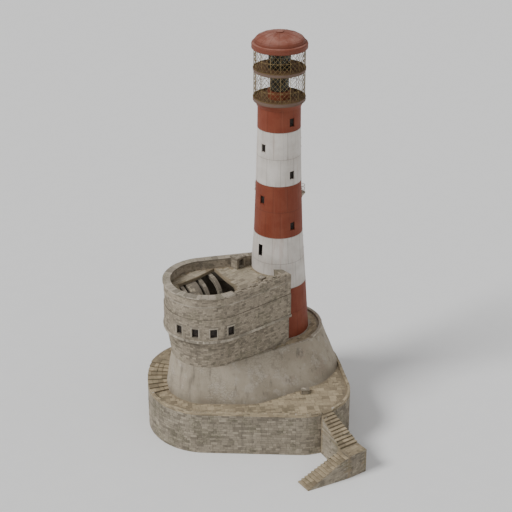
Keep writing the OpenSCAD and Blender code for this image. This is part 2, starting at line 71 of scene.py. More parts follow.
LENS = 92.5
TILT = math.radians(63.3)
YAW = math.radians(0.23)
camera = bpy.data.objects.new("camera", bpy.data.cameras.new("camera"))
camera.data.lens = LENS
camera.data.clip_end = 600
camera.location = turned(-2.70, -118.94, 76.08)
camera.rotation_euler = (TILT, 0, TURN - YAW)
bpy.context.scene.collection.objects.link(camera)
bpy.context.scene.camera = camera

# Each sun's name, strength, spread in degrees and aim
SUNS = (("key", 2.5, 20, (0.85, 0.42, -0.9)), ("fill", 0.42, 90, (-0.9, 0.5, -0.7)))
for name, strength, spread, aim in SUNS:
    light = bpy.data.objects.new(name, bpy.data.lights.new(name, "SUN"))
    light.data.energy = strength
    light.data.angle = math.radians(spread)
    light.rotation_euler = turned(*aim).to_track_quat("-Z", "Y").to_euler()
    bpy.context.scene.collection.objects.link(light)

SKY_COLOUR = (0.98, 0.98, 1.0, 1)
SKY_STRENGTH = 0.42
sky = bpy.data.worlds.new("overcast")
sky.use_nodes = True
sky.node_tree.nodes["Background"].inputs["Color"].default_value = SKY_COLOUR
sky.node_tree.nodes["Background"].inputs["Strength"].default_value = SKY_STRENGTH
bpy.context.scene.world = sky


class Signal:
    """A shader value. Arithmetic on it adds Math nodes to its material."""

    def __init__(self, finish, socket):
        self.finish = finish
        self.socket = socket

    def math(self, operation, *others):
        sockets = dict(enumerate((self, *others)))
        return self.finish.add("ShaderNodeMath", {"operation": operation}, sockets)

    def __add__(self, other):
        return self.math("ADD", other)

    def __radd__(self, other):
        return self.math("ADD", other)

    def __sub__(self, other):
        return self.math("SUBTRACT", other)

    def __rsub__(self, other):
        return self.finish.value(other).math("SUBTRACT", self)

    def __mul__(self, other):
        return self.math("MULTIPLY", other)

    def __rmul__(self, other):
        return self.math("MULTIPLY", other)

    def __truediv__(self, other):
        return self.math("DIVIDE", other)

    def __gt__(self, other):
        return self.math("GREATER_THAN", other)

    def __lt__(self, other):
        return self.math("LESS_THAN", other)


class Finish:
    """A material with one Principled shader, and the means to add nodes to it."""

    def __init__(self, name, roughness=0.9, metallic=0.0, constants=None):
        self.material = bpy.data.materials.new(name)
        self.material.use_nodes = True
        self.tree = self.material.node_tree
        self.shader = self.tree.nodes["Principled BSDF"]
        self.shader.inputs["Roughness"].default_value = roughness
        self.shader.inputs["Metallic"].default_value = metallic
        self.shader.inputs["Specular IOR Level"].default_value = 0.25
        for socket, number in (constants or {}).items():
            self.shader.inputs[socket].default_value = number

    def add(self, kind, settings=None, sockets=None, out=0):
        """One node: its settings are set first, then the values or links of its sockets."""
        node = self.tree.nodes.new(kind)
        for key, setting in (settings or {}).items():
            setattr(node, key, setting)
        for key, given in (sockets or {}).items():
            if isinstance(given, Signal):
                self.tree.links.new(given.socket, node.inputs[key])
            else:
                node.inputs[key].default_value = given
        return Signal(self, node.outputs[out])

    def value(self, number):
        return self.add("ShaderNodeMath", {"operation": "ADD"}, {0: number, 1: 0.0})

    def place(self):
        return self.add("ShaderNodeTexCoord", out="Object")

    def facing_up(self):
        """1 on a level top, 0 on a wall."""
        return self.split(self.add("ShaderNodeNewGeometry", out="Normal"))[2]

    def split(self, vector):
        return [self.add("ShaderNodeSeparateXYZ", None, {0: vector}, axis) for axis in "XYZ"]

    def joined(self, x, y, z=0.0):
        return self.add("ShaderNodeCombineXYZ", None, {0: x, 1: y, 2: z})

    def noise(self, scale, detail=4.0, roughness=0.55, vector=None):
        sockets = {"Scale": scale, "Detail": detail, "Roughness": roughness}
        sockets["Vector"] = vector or self.place()
        return self.add("ShaderNodeTexNoise", {"noise_dimensions": "3D"}, sockets, "Fac")

    def band(self, signal, low, high):
        """0 below low, 1 above high, smooth between."""
        settings = {"interpolation_type": "SMOOTHSTEP"}
        return self.add("ShaderNodeMapRange", settings, {0: signal, 1: low, 2: high, 3: 0.0, 4: 1.0})

    def mix(self, first, second, amount):
        """From the first colour to the second."""
        pad = [colour if isinstance(colour, Signal) else (*colour, 1) for colour in (first, second)]
        settings = {"data_type": "RGBA", "blend_type": "MIX", "clamp_factor": True}
        return self.add("ShaderNodeMix", settings, {0: amount, 6: pad[0], 7: pad[1]}, 2)

    def paint(self, colour, roughness=None, height=None, depth=0.01):
        """Joins colour, roughness and relief to the shader, and returns the material."""
        self.tree.links.new(colour.socket, self.shader.inputs["Base Color"])
        if roughness is not None:
            self.tree.links.new(roughness.socket, self.shader.inputs["Roughness"])
        if height is not None:
            bump = self.add("ShaderNodeBump", None, {"Strength": 1.0, "Distance": depth, "Height": height})
            self.tree.links.new(bump.socket, self.shader.inputs["Normal"])
        return self.material


def floor_finish():
    look = Finish("studio_floor", 0.95)
    speckle = look.noise(0.5, 2.0)
    return look.paint(look.mix((0.88, 0.88, 0.87), (0.91, 0.91, 0.90), speckle))


FLOOR_HALF = 2500.0
FLOOR_Z = cad_box[0][2] - 0.002
FLOOR_CORNERS = [(x * FLOOR_HALF, y * FLOOR_HALF, FLOOR_Z) for x, y in ((-1, -1), (1, -1), (1, 1), (-1, 1))]
floor_mesh = bpy.data.meshes.new("floor")
floor_mesh.from_pydata(FLOOR_CORNERS, [], [(0, 1, 2, 3)])
floor_mesh.materials.append(floor_finish())
floor = bpy.data.objects.new("floor", floor_mesh)
bpy.context.scene.collection.objects.link(floor)

# ---------------------------------------------------------------- fort walls
# The fort is a round bastion with two straight walls that run back to the tower, of squared field
# stones laid in courses. Each stone stands a little proud of a lime mortar bed. A projecting
# string course parts the leaning lower storey from the window storey.
ROOT = "root"
rng = np.random.default_rng(7)
sliced = {}


def loops_of(node, z):
    """The closed lines where a level plane cuts a CAD node, each turning anticlockwise outside."""
    key = (node, round(z, 4))
    if key in sliced:
        return sliced[key]
    mesh = nodes[node].data
    mesh.calc_loop_triangles()
    points = np.zeros(len(mesh.vertices) * 3)
    mesh.vertices.foreach_get("co", points)
    corners = np.zeros(len(mesh.loop_triangles) * 3, int)
    mesh.loop_triangles.foreach_get("vertices", corners)
    triangles = points.reshape(-1, 3)[corners].reshape(-1, 3, 3)
    above = triangles[:, :, 2] > z + 1e-6
    crossing = triangles[(above.any(axis=1)) & (~above.all(axis=1))]
    links = {}
    for triangle in crossing:
        ends = [None, None]
        for k in range(3):
            a, b = triangle[k], triangle[(k + 1) % 3]
            if (a[2] > z + 1e-6) != (b[2] > z + 1e-6):
                share = (z - a[2]) / (b[2] - a[2])
                ends[int(a[2] > z + 1e-6)] = tuple(np.round(a[:2] + share * (b[:2] - a[:2]), 4))
        if ends[0] != ends[1]:
            links[ends[0]] = ends[1]
    loops = []
    while links:
        start, place = links.popitem()
        line = [start]
        while place != start and place in links:
            line.append(place)
            place = links.pop(place)
        loops.append(np.array(line))
    loops = [line for line in loops if len(line) > 2]
    sliced[key] = loops
    return loops


class Outline:
    """A line in plan, walked by its length. Its outside is on the right."""

    def __init__(self, points, closed=True):
        points = np.asarray(points, float)
        if closed:
            shifted = np.roll(points, -1, axis=0)
            if (points[:, 0] * shifted[:, 1] - shifted[:, 0] * points[:, 1]).sum() < 0:
                points = points[::-1]
            points = np.vstack([points, points[:1]])
        steps = np.linalg.norm(np.diff(points, axis=0), axis=1)
        points = points[np.concatenate([[True], steps > 1e-5])]
        self.points = points
        self.walk = np.concatenate([[0], np.cumsum(np.linalg.norm(np.diff(points, axis=0), axis=1))])
        self.length = self.walk[-1]
        self.closed = closed

    def on(self, s):
        s = np.mod(s, self.length) if self.closed else np.clip(s, 0, self.length)
        return np.stack([np.interp(s, self.walk, self.points[:, k]) for k in (0, 1)], axis=-1)

    def normal(self, s, reach=0.06):
        along = self.on(np.asarray(s) + reach) - self.on(np.asarray(s) - reach)
        along /= np.maximum(np.linalg.norm(along, axis=-1, keepdims=True), 1e-9)
        return np.stack([along[..., 1], -along[..., 0]], axis=-1)

    def at(self, s, out=0.0):
        return self.on(s) + self.normal(s) * np.asarray(out)[..., None]

    def nearest(self, point):
        return self.walk[np.argmin(np.linalg.norm(self.points - point, axis=1))]

    def corners(self, angle=25.0):
        """Lengths at which the line turns by more than an angle in degrees."""
        spots = np.arange(0, self.length, 0.05)
        turn = (self.normal(spots + 0.08, 0.04) * self.normal(spots - 0.08, 0.04)).sum(axis=-1)
        sharp = spots[turn < math.cos(math.radians(angle))]
        return [s for k, s in enumerate(sharp) if k == 0 or s - sharp[k - 1] > 0.12]


def mesh_from(name, vertices, faces, material, tone=None, smooth=False):
    """One object from arrays of corners and faces, with a tone number at each corner."""
    mesh = bpy.data.meshes.new(name)
    vertices = np.asarray(vertices, float).reshape(-1, 3)
    mesh.from_pydata(vertices.tolist(), [], [list(map(int, face)) for face in faces])
    if tone is not None:
        layer = mesh.attributes.new("tone", "FLOAT", "POINT")
        layer.data.foreach_set("value", np.asarray(tone, np.float32).ravel())
    mesh.materials.append(material)
    mesh.polygons.foreach_set("use_smooth", np.full(len(mesh.polygons), smooth))
    mesh.update()
    piece = bpy.data.objects.new(name, mesh)
    bpy.context.scene.collection.objects.link(piece)
    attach(piece, ROOT)
    return piece


# A block's corners are its back, its rim and its smaller face, four each
BLOCK_FACES = np.array([
    (0, 1, 5, 4), (1, 2, 6, 5), (2, 3, 7, 6), (3, 0, 4, 7),
    (4, 5, 9, 8), (5, 6, 10, 9), (6, 7, 11, 10), (7, 4, 8, 11), (8, 9, 10, 11)])


def blocks(name, rims, material):
    """Many chamfered blocks as one piece. Each is its back, rim and face, four corners each."""
    rims = np.asarray(rims, float).reshape(-1, 12, 3)
    count = len(rims)
    quads = (BLOCK_FACES[None] + 12 * np.arange(count)[:, None, None]).reshape(-1, 4)
    tone = np.repeat(rng.random(count), 12)
    return mesh_from(name, rims, quads, material, tone)


def free_spans(start, end, z0, z1, holes):
    """The parts of a course that no opening takes."""
    spans = [(start, end)]
    for s0, s1, h0, h1 in holes:
        if h1 > z0 + 0.03 and h0 < z1 - 0.03:
            spans = [part for a, b in spans for part in ((a, min(b, s0)), (max(a, s1), b))]
            spans = [(a, b) for a, b in spans if b - a > 0.06]
    return spans


def course_levels(z0, z1, course):
    """Heights of the bed joints between two levels."""
    levels = [z0]
    while z1 - levels[-1] > 1.45 * course:
        levels.append(levels[-1] + course * rng.uniform(0.82, 1.18))
    return levels + [z1]


def stone_row(low, high, z0, z1, spans, block, joint, proud, chamfer, keep=None):
    """One course of stones between two outlines that are walked by the share of their length."""
    rims = []
    scale = high.length / low.length
    for start, end in spans:
        s = start
        while s < end - 0.03:
            e = s + block * rng.uniform(0.55, 1.5)
            if end - e < block * 0.4:
                e = end
            out = proud * rng.uniform(0.35, 1.0)
            ss = np.array([s + joint / 2, e - joint / 2, e - joint / 2, s + joint / 2])
            zz = np.array([z0, z0, z1, z1]) + np.array([1, 1, -1, -1]) * joint / 2
            zz += rng.uniform(-0.3, 0.3, 4) * chamfer
            lift = (zz - z0) / (z1 - z0)
            inner_s = ss + np.array([1, -1, -1, 1]) * min(chamfer, 0.3 * (e - s))
            inner_z = zz + np.array([1, 1, -1, -1]) * min(chamfer * 0.8, 0.3 * (z1 - z0))
            rim = []
            for along, height, push in ((ss, zz, -0.02), (ss, zz, out * 0.4), (inner_s, inner_z, out)):
                flat = low.at(along, np.full(4, push)) * (1 - lift[:, None])
                flat += high.at(along * scale, np.full(4, push)) * lift[:, None]
                rim.append(np.concatenate([flat, height[:, None]], axis=1))
            middle = rim[1].mean(axis=0)
            if keep is None or keep(middle, low.normal((s + e) / 2)):
                rims.append(rim)
            s = e
    return rims


def stone_wall(lines, z0, z1, course, block, holes=(), keep=None, joint=0.014, proud=0.024, chamfer=0.018):
    """Courses of stones up a wall. lines(z) gives the wall's outlines at a height."""
    rims = []
    levels = course_levels(z0, z1, course)
    for low_z, high_z in zip(levels, levels[1:]):
        for low, high in zip(lines(low_z), lines(high_z)):
            turns = [0.0, *low.corners(), low.length]
            for start, end in zip(turns, turns[1:]):
                spans = free_spans(start, end, low_z, high_z, holes)
                rims += stone_row(low, high, low_z, high_z, spans, block, joint, proud, chamfer, keep)
    return rims


def node_lines(node, clear=0.004):
    """Outlines of a CAD node at any height inside it, started at the same side of the node."""
    low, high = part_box(node)

    def lines(z):
        level = min(max(z, low[2] + clear), high[2] - clear)
        found = sorted(loops_of(node, level), key=len)
        started = []
        for line in found:
            start = np.argmin(line[:, 0] * 0.3 + line[:, 1])
            started.append(Outline(np.roll(line, -start, axis=0)))
        return started

    return lines


def slabs_along(outline, width, z, step, start=0.0, end=None, keep=None, proud=0.02, thick=0.02, joint=0.016):
    """Cross slabs laid on top of a wall, from its outer line inwards."""
    rims = []
    s = start
    end = outline.length if end is None else end
    while s < end - 0.1:
        e = min(end, s + step * rng.uniform(0.75, 1.3))
        ss = np.array([s + joint, e - joint, e - joint, s + joint])
        outs = np.array([0, 0, -width, -width]) + rng.uniform(-0.012, 0.012, 4)
        lift = proud * rng.uniform(0.5, 1.0)
        inner_s = ss + np.array([1, -1, -1, 1]) * 0.018
        inner_o = outs + np.array([-1, -1, 1, 1]) * 0.018
        rim = []
        for along, push, height in ((ss, outs, -thick), (ss, outs, lift * 0.4), (inner_s, inner_o, lift)):
            rim.append(np.concatenate([outline.at(along, push), np.full((4, 1), z + height)], axis=1))
        if keep is None or keep(rim[1].mean(axis=0)):
            rims.append(rim)
        s = e
    return rims


def stone_finish(name, light, dark, moss=0.25, streak=0.5, toned=True, depth=0.012, grain=1.0):
    """Weathered stone: tone by block, broad stains, rain streaks, lichen spots and a pitted grain."""
    look = Finish(name, 0.93)
    x, y, z = look.split(look.place())
    stain = look.noise(0.35, 5.0, 0.6)
    body = look.mix(light, dark, look.band(stain, 0.35, 0.7))
    if toned:
        tone = look.add("ShaderNodeAttribute", {"attribute_name": "tone"}, out="Fac")
        deep = tuple(channel * 0.55 for channel in dark)
        pale = tuple(min(1.0, channel * 1.28) for channel in light)
        body = look.mix(body, deep, look.band(tone, 0.6, 1.0) * 0.6)
        body = look.mix(body, pale, look.band(tone, 0.4, 0.0) * 0.6)
    mottle = look.noise(2.6, 6.0, 0.65)
    body = look.mix(body, (0.05, 0.045, 0.04), look.band(mottle, 0.5, 0.78) * 0.45)
    drip = look.noise(1.0, 4.0, 0.6, look.joined(x * 2.2, y * 2.2, z * 0.22))
    body = look.mix(body, (0.05, 0.045, 0.038), look.band(drip, 0.5, 0.72) * streak * 0.55)
    lichen = look.noise(5.5, 3.0, 0.5) * look.band(look.noise(0.6, 2.0), 0.45, 0.6)
    body = look.mix(body, (0.10, 0.105, 0.055), look.band(lichen, 0.40, 0.56) * moss)
    speck = look.noise(38.0 * grain, 3.0, 0.7)
    pits = look.noise(11.0 * grain, 5.0, 0.65)
    body = look.mix(body, (0.03, 0.028, 0.025), look.band(speck, 0.55, 0.8) * 0.25)
    rough = pits * 0.14 + 0.84
    return look.paint(body, rough, pits * 0.7 + speck * 0.3, depth)


def coat(finish, *names):
    """Gives CAD nodes a finish of their own."""
    for name in names:
        nodes[name].data.materials.clear()
        nodes[name].data.materials.append(finish)


wall_stone = stone_finish("wall_stone", (0.35, 0.298, 0.226), (0.25, 0.212, 0.160))
coping_stone = stone_finish("coping_stone", (0.41, 0.36, 0.285), (0.30, 0.262, 0.205), moss=0.3, streak=0.25)
mortar = stone_finish("lime_mortar", (0.25, 0.215, 0.168), (0.18, 0.155, 0.12), toned=False)
coat(mortar, "fort_wall_front", "fort_wall_left", "fort_wall_back", "fort_wall_wing", "fort_upper_course",
     "fort_podium", "fort_floor", "fort_string_course")

LEDGE_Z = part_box("fort_podium")[0][2]
STRING_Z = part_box("fort_podium")[1][2]
WALL_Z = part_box("fort_wall_front")[0][2]
COURSE_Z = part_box("fort_upper_course")[0][2]
DECK_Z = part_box("fort_deck")[1][2]
BASTION_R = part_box("fort_deck")[1][1]
BASTION = np.array([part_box("fort_deck")[0][0] + BASTION_R, 0.0])
BANDS = ("shaft_foot_band", "shaft_lower_band", "shaft_middle_band", "shaft_upper_band", "shaft_top_band")
band_boxes = [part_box(name) for name in BANDS]
SHAFT_Z = [low[2] for low, high in band_boxes] + [band_boxes[-1][1][2]]
SHAFT_R = [high[0] for low, high in band_boxes]
SHAFT_R.append(SHAFT_R[-1] - 0.02)


def off_shaft(point, normal=None):
    """Whether a point is clear of the tower, so that a stone may lie there."""
    return math.hypot(point[0], point[1]) > np.interp(point[2], SHAFT_Z, SHAFT_R) + 0.05


def toward(angle):
    """A way in plan, at an angle from the x axis."""
    return np.array([math.cos(angle), math.sin(angle)])


FRONT_DIR = math.radians(4)
BACK_DIR = math.radians(-22)
FRONT_LEN = 7.13
BACK_LEN = 5.75


def fort_line(r):
    """The fort's outer line at a radius, from the end of the back wall round to the front one."""
    ends = [FRONT_DIR - math.pi / 2, BACK_DIR - 1.5 * math.pi]
    turn = np.linspace(*ends, 240)
    arc = BASTION + r * np.stack([np.cos(turn), np.sin(turn)], axis=1)
    corner = BASTION + r * toward(ends[0]) + FRONT_LEN * toward(FRONT_DIR)
    back_end = BASTION + r * toward(ends[1]) + BACK_LEN * toward(BACK_DIR)
    points = [corner - 1.2 * toward(ends[0]), corner, *arc, back_end]
    return Outline(np.array(points)[::-1], closed=False)


PORT_W = 0.67
PORT_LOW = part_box("fort_windows")[0][2]
PORT_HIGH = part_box("fort_windows")[1][2]
PORT_ANGLES = (-92, -116, -140, -164, 132, 108, 84)
JAMB = 0.13
SILL_H = 0.1
LINTEL_H = 0.17
WINDOW_R = BASTION_R + 0.08
window_line = fort_line(WINDOW_R)
port_ways = [toward(math.radians(degrees)) for degrees in PORT_ANGLES]
port_spots = [window_line.nearest(BASTION + WINDOW_R * way) for way in port_ways]
half = PORT_W / 2 + JAMB
port_holes = [(s - half, s + half, PORT_LOW - SILL_H, PORT_HIGH + LINTEL_H) for s in port_spots]
rims = stone_wall(lambda z: [window_line], WALL_Z, COURSE_Z, 0.185, 0.33, port_holes, off_shaft)
blocks("window_storey_stones", rims, wall_stone)

upper_line = fort_line(BASTION_R)
rims = stone_wall(lambda z: [upper_line], COURSE_Z, DECK_Z, 0.18, 0.33, (), off_shaft)
blocks("upper_storey_stones", rims, wall_stone)

# Long thin stones make a narrow moulding at the level of the deck
moulding_line = fort_line(BASTION_R + 0.035)
rims = stone_wall(lambda z: [moulding_line], DECK_Z - 0.13, DECK_Z + 0.02, 0.2, 0.6, (), off_shaft,
                  0.012, 0.045, 0.03)
blocks("deck_moulding_stones", rims, coping_stone)

rims = stone_wall(node_lines("fort_podium"), LEDGE_Z, STRING_Z, 0.2, 0.36, (), off_shaft)
blocks("lower_storey_stones", rims, wall_stone)

string_line = fort_line(BASTION_R + 0.19)
rims = stone_wall(lambda z: [string_line], STRING_Z, WALL_Z, 0.3, 0.62, (), off_shaft, 0.014, 0.02, 0.03)
rims += slabs_along(string_line, 0.13, WALL_Z, 0.6, keep=off_shaft)
blocks("string_course_stones", rims, coping_stone)

# Each fort window has a lintel, a sill and two jambs of squared stone
SURROUND = ((-0.47, 0.47, PORT_HIGH, PORT_HIGH + LINTEL_H), (-0.45, 0.45, PORT_LOW - SILL_H, PORT_LOW),
            (-0.465, -0.335, PORT_LOW, PORT_HIGH), (0.335, 0.465, PORT_LOW, PORT_HIGH))
rims = []
for s in port_spots:
    for a, b, z0, z1 in SURROUND:
        rims += stone_row(window_line, window_line, z0, z1, [(s + a, s + b)], 5.0, 0.008, 0.034, 0.014)
blocks("fort_window_surrounds", rims, coping_stone)


def frame_finish():
    look = Finish("window_frames", 0.6)
    worn = look.band(look.noise(7.0, 5.0), 0.4, 0.65)
    body = look.mix((0.018, 0.015, 0.013), (0.05, 0.037, 0.028), worn)
    return look.paint(body, look.noise(18.0) * 0.3 + 0.4, look.noise(40.0), 0.004)


dark_frame = frame_finish()
coat(dark_frame, "fort_windows")

# ---------------------------------------------------------------- parapet
# A chest-high wall stands round the deck. Flat coping slabs cap it round the bastion and along
# the back; in front it has lost its coping and its top course is broken and uneven.
coat(mortar, "parapet_bastion", "parapet_back", "parapet_low")
for name in ("parapet_bastion", "parapet_back"):
    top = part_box(name)[1][2]
    rims = stone_wall(node_lines(name), DECK_Z, top - 0.145, 0.17, 0.34, (), off_shaft)
    blocks(name + "_stones", rims, wall_stone)

RIM_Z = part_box("parapet_bastion")[1][2]
COPING_R = BASTION_R + 0.15
BREAK = math.radians(-84)
coping_line = fort_line(COPING_R)
split = coping_line.nearest(BASTION + COPING_R * toward(BREAK))
rims = slabs_along(coping_line, 0.77, RIM_Z, 0.62, 0.0, split, off_shaft, proud=0.03)
fallen = (split, coping_line.length, 0, RIM_Z)
rims += stone_wall(lambda z: [coping_line], RIM_Z - 0.14, RIM_Z, 0.2, 0.62, [fallen], off_shaft)
blocks("coping_slabs", rims, coping_stone)

LOW_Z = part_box("parapet_low")[1][2]
rims = stone_wall(node_lines("parapet_low"), DECK_Z, LOW_Z, 0.17, 0.34, (), off_shaft)
low_line = fort_line(BASTION_R + 0.03)
for offset in (0.0, -0.22, -0.43):
    s = split
    while s < low_line.length - 1.3:
        step = rng.uniform(0.2, 0.42)
        height = rng.uniform(0.03, 0.2) * (1.0 if rng.random() < 0.7 else 0.3)
        bed = Outline(low_line.at(np.linspace(s, s + step, 5), np.full(5, offset)), False)
        rims += slabs_along(bed, 0.2, LOW_Z + height, 1.0, thick=height + 0.02)
        s += step
blocks("broken_parapet_stones", rims, wall_stone)

# ---------------------------------------------------------------- deck and vault
# The deck is flagged. Its middle has fallen in over the vaulted room and left a hole with three
# arches of cut voussoirs and one strip of the vault's shell.
COVER = 0.02  # how far below a surface its outline is taken


def inside(loops, spots):
    """Which of many spots in plan lie inside a set of loops, holes taken out."""
    spots = np.asarray(spots, float)
    result = np.zeros(len(spots), bool)
    for line in loops:
        a, b = line, np.roll(line, -1, axis=0)
        for (x0, y0), (x1, y1) in zip(a, b):
            if y0 == y1:
                continue
            crosses = (spots[:, 1] > min(y0, y1)) & (spots[:, 1] <= max(y0, y1))
            result ^= crosses & (spots[:, 0] < x0 + (spots[:, 1] - y0) * (x1 - x0) / (y1 - y0))
    return result


def flags(name, node, z, covers, cell, angle, material, proud=0.018, joint=0.022, limit=None):
    """Flagstones in rows on the level top of a CAD node, where no covering node stands."""
    below = loops_of(node, z - COVER)
    above = [loops_of(cover, level) for cover, level in covers]
    every = np.concatenate(below)
    c, s = math.cos(math.radians(angle)), math.sin(math.radians(angle))
    spin = np.array([[c, s], [-s, c]])
    local = every @ spin.T
    lo, hi = local.min(axis=0), local.max(axis=0)
    quads = []
    y = lo[1]
    while y < hi[1]:
        depth = cell * rng.uniform(0.7, 1.25)
        x = lo[0] - rng.uniform(0, cell)
        while x < hi[0]:
            width = cell * rng.uniform(0.75, 1.7)
            cut = 2 if rng.random() < 0.3 else 1
            for part in range(cut):
                a, b = y + depth * part / cut, y + depth * (part + 1) / cut
                quads.append([(x, a), (x + width, a), (x + width, b), (x, b)])
            x += width
        y += depth
    quads = np.array(quads)
    small = []
    for quad in quads:
        step = (quad[2] - quad[0]) / 2
        for dx, dy in ((0, 0), (1, 0), (0, 1), (1, 1)):
            corner = quad[0] + step * (dx, dy)
            small.append([corner, corner + step * (1, 0), corner + step, corner + step * (0, 1)])
    small = np.array(small)

    def fits(group):
        test = np.concatenate([group, group.mean(axis=1, keepdims=True)], axis=1).reshape(-1, 2) @ spin
        good = inside(below, test)
        for loops in above:
            good &= ~inside(loops, test)
        if limit is not None:
            good &= limit(test)
        return good.reshape(-1, 5).all(axis=1)

    whole = fits(quads)
    parts = fits(small) & ~np.repeat(whole, 4)
    chosen = np.concatenate([quads[whole], small[parts]])
    shrink = chosen + np.sign(chosen.mean(axis=1, keepdims=True) - chosen) * joint / 2
    shrink += rng.uniform(-0.25, 0.25, shrink.shape) * joint
    face = shrink + np.sign(shrink.mean(axis=1, keepdims=True) - shrink) * 0.014
    out = proud * rng.uniform(0.4, 1.0, len(chosen))
    tilt = rng.uniform(-0.1, 0.1, (len(chosen), 4)) * proud
    rims = []
    sunk = np.full((len(chosen), 4), -0.02)
    for plan, lift in ((shrink, sunk), (shrink, out[:, None] * 0.4 + tilt), (face, out[:, None] + tilt)):
        rims.append(np.concatenate([plan @ spin, (z + lift)[..., None]], axis=2))
    rims = np.stack(rims, axis=1)
    return blocks(name, rims, material)


bed_sand = stone_finish("sandy_bed", (0.30, 0.24, 0.16), (0.21, 0.17, 0.115), moss=0.35, streak=0.0,
                        toned=False)
deck_stone = stone_finish("deck_stone", (0.42, 0.36, 0.265), (0.31, 0.265, 0.195), moss=0.15, streak=0.1)
coat(bed_sand, "fort_deck")
coat(mortar, "vault_ribs", "vault_shell")
ON_DECK = ("parapet_bastion", "parapet_back", "parapet_low", "hatch_hood", "deck_block")
deck_covers = [(name, DECK_Z + 0.1) for name in ON_DECK]
flags("deck_flags", "fort_deck", DECK_Z, deck_covers, 0.55, 10, deck_stone)

VAULT_R = 2.15
VAULT_Y = 2.5
VAULT_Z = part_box("fort_deck")[0][2] - 0.01 - VAULT_R
RIB_X = (-10.3, -8.05, -6.6)
RIB_T = 0.40
RIB_W = 0.38
SHELL_X = (-9.8, -8.6)
SHELL_T = 0.26
JOINT = 0.008


def voussoirs(x0, x1, depth, stones, cuts):
    """Stones of an arch between two planes across the vault, on its back and on its face."""
    rims = []
    back = (VAULT_R - 0.05, VAULT_R)
    face = (VAULT_R - depth + 0.05, VAULT_R - depth - 0.02)
    bounds = np.linspace(0, math.pi, stones + 1)
    strips = np.linspace(x0, x1, cuts + 1)
    for a, b in zip(bounds, bounds[1:]):
        for left, right in zip(strips, strips[1:]):
            for r_back, r_face in (back, face):
                r_face += rng.uniform(-JOINT, JOINT)
                margin = JOINT / VAULT_R
                aa = np.array([a + margin, a + margin, b - margin, b - margin])
                xx = np.array([left + JOINT, right - JOINT, right - JOINT, left + JOINT])
                if r_face < r_back:
                    xx = xx[::-1]
                rim = []
                for r, inset in ((r_back, 0.0), ((r_back + 2 * r_face) / 3, 0.0), (r_face, 1.0)):
                    w = aa + np.array([1, 1, -1, -1]) * 0.006 * inset
                    x = xx + np.sign(xx.mean() - xx) * 0.015 * inset
                    rim.append(np.stack([x, VAULT_Y + r * np.cos(w), VAULT_Z + r * np.sin(w)], axis=1))
                if np.hypot(rim[1][:, 0] - BASTION[0], rim[1][:, 1]).max() < BASTION_R - 0.8:
                    rims.append(rim)
    return rims


rims = []
for x in RIB_X:
    rims += voussoirs(x - RIB_W / 2 - 0.012, x + RIB_W / 2 + 0.012, RIB_T, 17, 1)
blocks("vault_rib_voussoirs", rims, coping_stone)
blocks("vault_shell_stones", voussoirs(*SHELL_X, SHELL_T, 21, 4), deck_stone)

# ---------------------------------------------------------------- hatch hood and squared blocks
# A small stone hood covers the way down at the back of the deck. Two squared blocks of the same
# masonry, each with a flat top, stand loose on the deck and on the terrace.
coat(mortar, "hatch_hood", "deck_block", "terrace_block")
for name, course in (("hatch_hood", 0.2), ("deck_block", 0.21), ("terrace_block", 0.19)):
    low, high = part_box(name)
    rims = stone_wall(node_lines(name), low[2], high[2], course, 0.34, proud=0.018)
    blocks(name + "_stones", rims, wall_stone)
    flags(name + "_top", name, high[2], [], 0.4, 10, coping_stone, proud=0.012)

# ---------------------------------------------------------------- battered base
# A mass of masonry under a stained lime render leans in from the terrace to the ledge that the
# fort and the tower stand on. It swells round the bastion, the tower and the belly between them.
TERRACE_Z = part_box("terrace_paving")[1][2]


def render_finish():
    look = Finish("lime_render", 0.94)
    x, y, z = look.split(look.place())
    shade = look.band(look.noise(0.25, 5.0, 0.6), 0.38, 0.66)
    body = look.mix((0.41, 0.355, 0.275), (0.31, 0.265, 0.20), shade)
    patch = look.noise(0.9, 6.0, 0.6)
    body = look.mix(body, (0.47, 0.42, 0.35), look.band(patch, 0.52, 0.62) * 0.45)
    body = look.mix(body, (0.36, 0.27, 0.21), look.band(look.noise(0.55, 4.0, 0.6), 0.56, 0.70) * 0.35)
    drip = look.noise(1.0, 5.0, 0.6, look.joined(x * 1.7, y * 1.7, z * 0.16))
    body = look.mix(body, (0.10, 0.088, 0.07), look.band(drip, 0.52, 0.75) * 0.55)
    foot = look.band(z + patch * 0.9, TERRACE_Z + 1.35, TERRACE_Z + 0.35)
    body = look.mix(body, (0.13, 0.115, 0.085), foot * 0.35)
    stones = look.add("ShaderNodeTexVoronoi", {"feature": "DISTANCE_TO_EDGE"},
                      {"Vector": look.joined(x, y, z * 1.7), "Scale": 2.3, "Randomness": 0.9})
    seam = look.band(stones, 0.07, 0.0) * look.band(look.noise(0.45, 3.0), 0.42, 0.6)
    body = look.mix(body, (0.15, 0.13, 0.10), seam * 0.35)
    grain = look.noise(24.0, 4.0, 0.7)
    relief = patch * 0.9 + grain * 0.25 - seam * 0.5
    return look.paint(body, grain * 0.1 + 0.87, relief, 0.03)


base_render = render_finish()
coat(base_render, "battered_base")
PODIUM_R = BASTION_R - 0.56
BELLY = np.array([-5.81, -2.94])
TOWER_FOOT = np.array([-0.18, -1.23])
FOOT_ROUNDS = ((BASTION, BASTION_R + 0.15), (BELLY, 3.64), (TOWER_FOOT, 5.74))
HEAD_ROUNDS = ((BASTION, PODIUM_R), (np.zeros(2), 4.62))


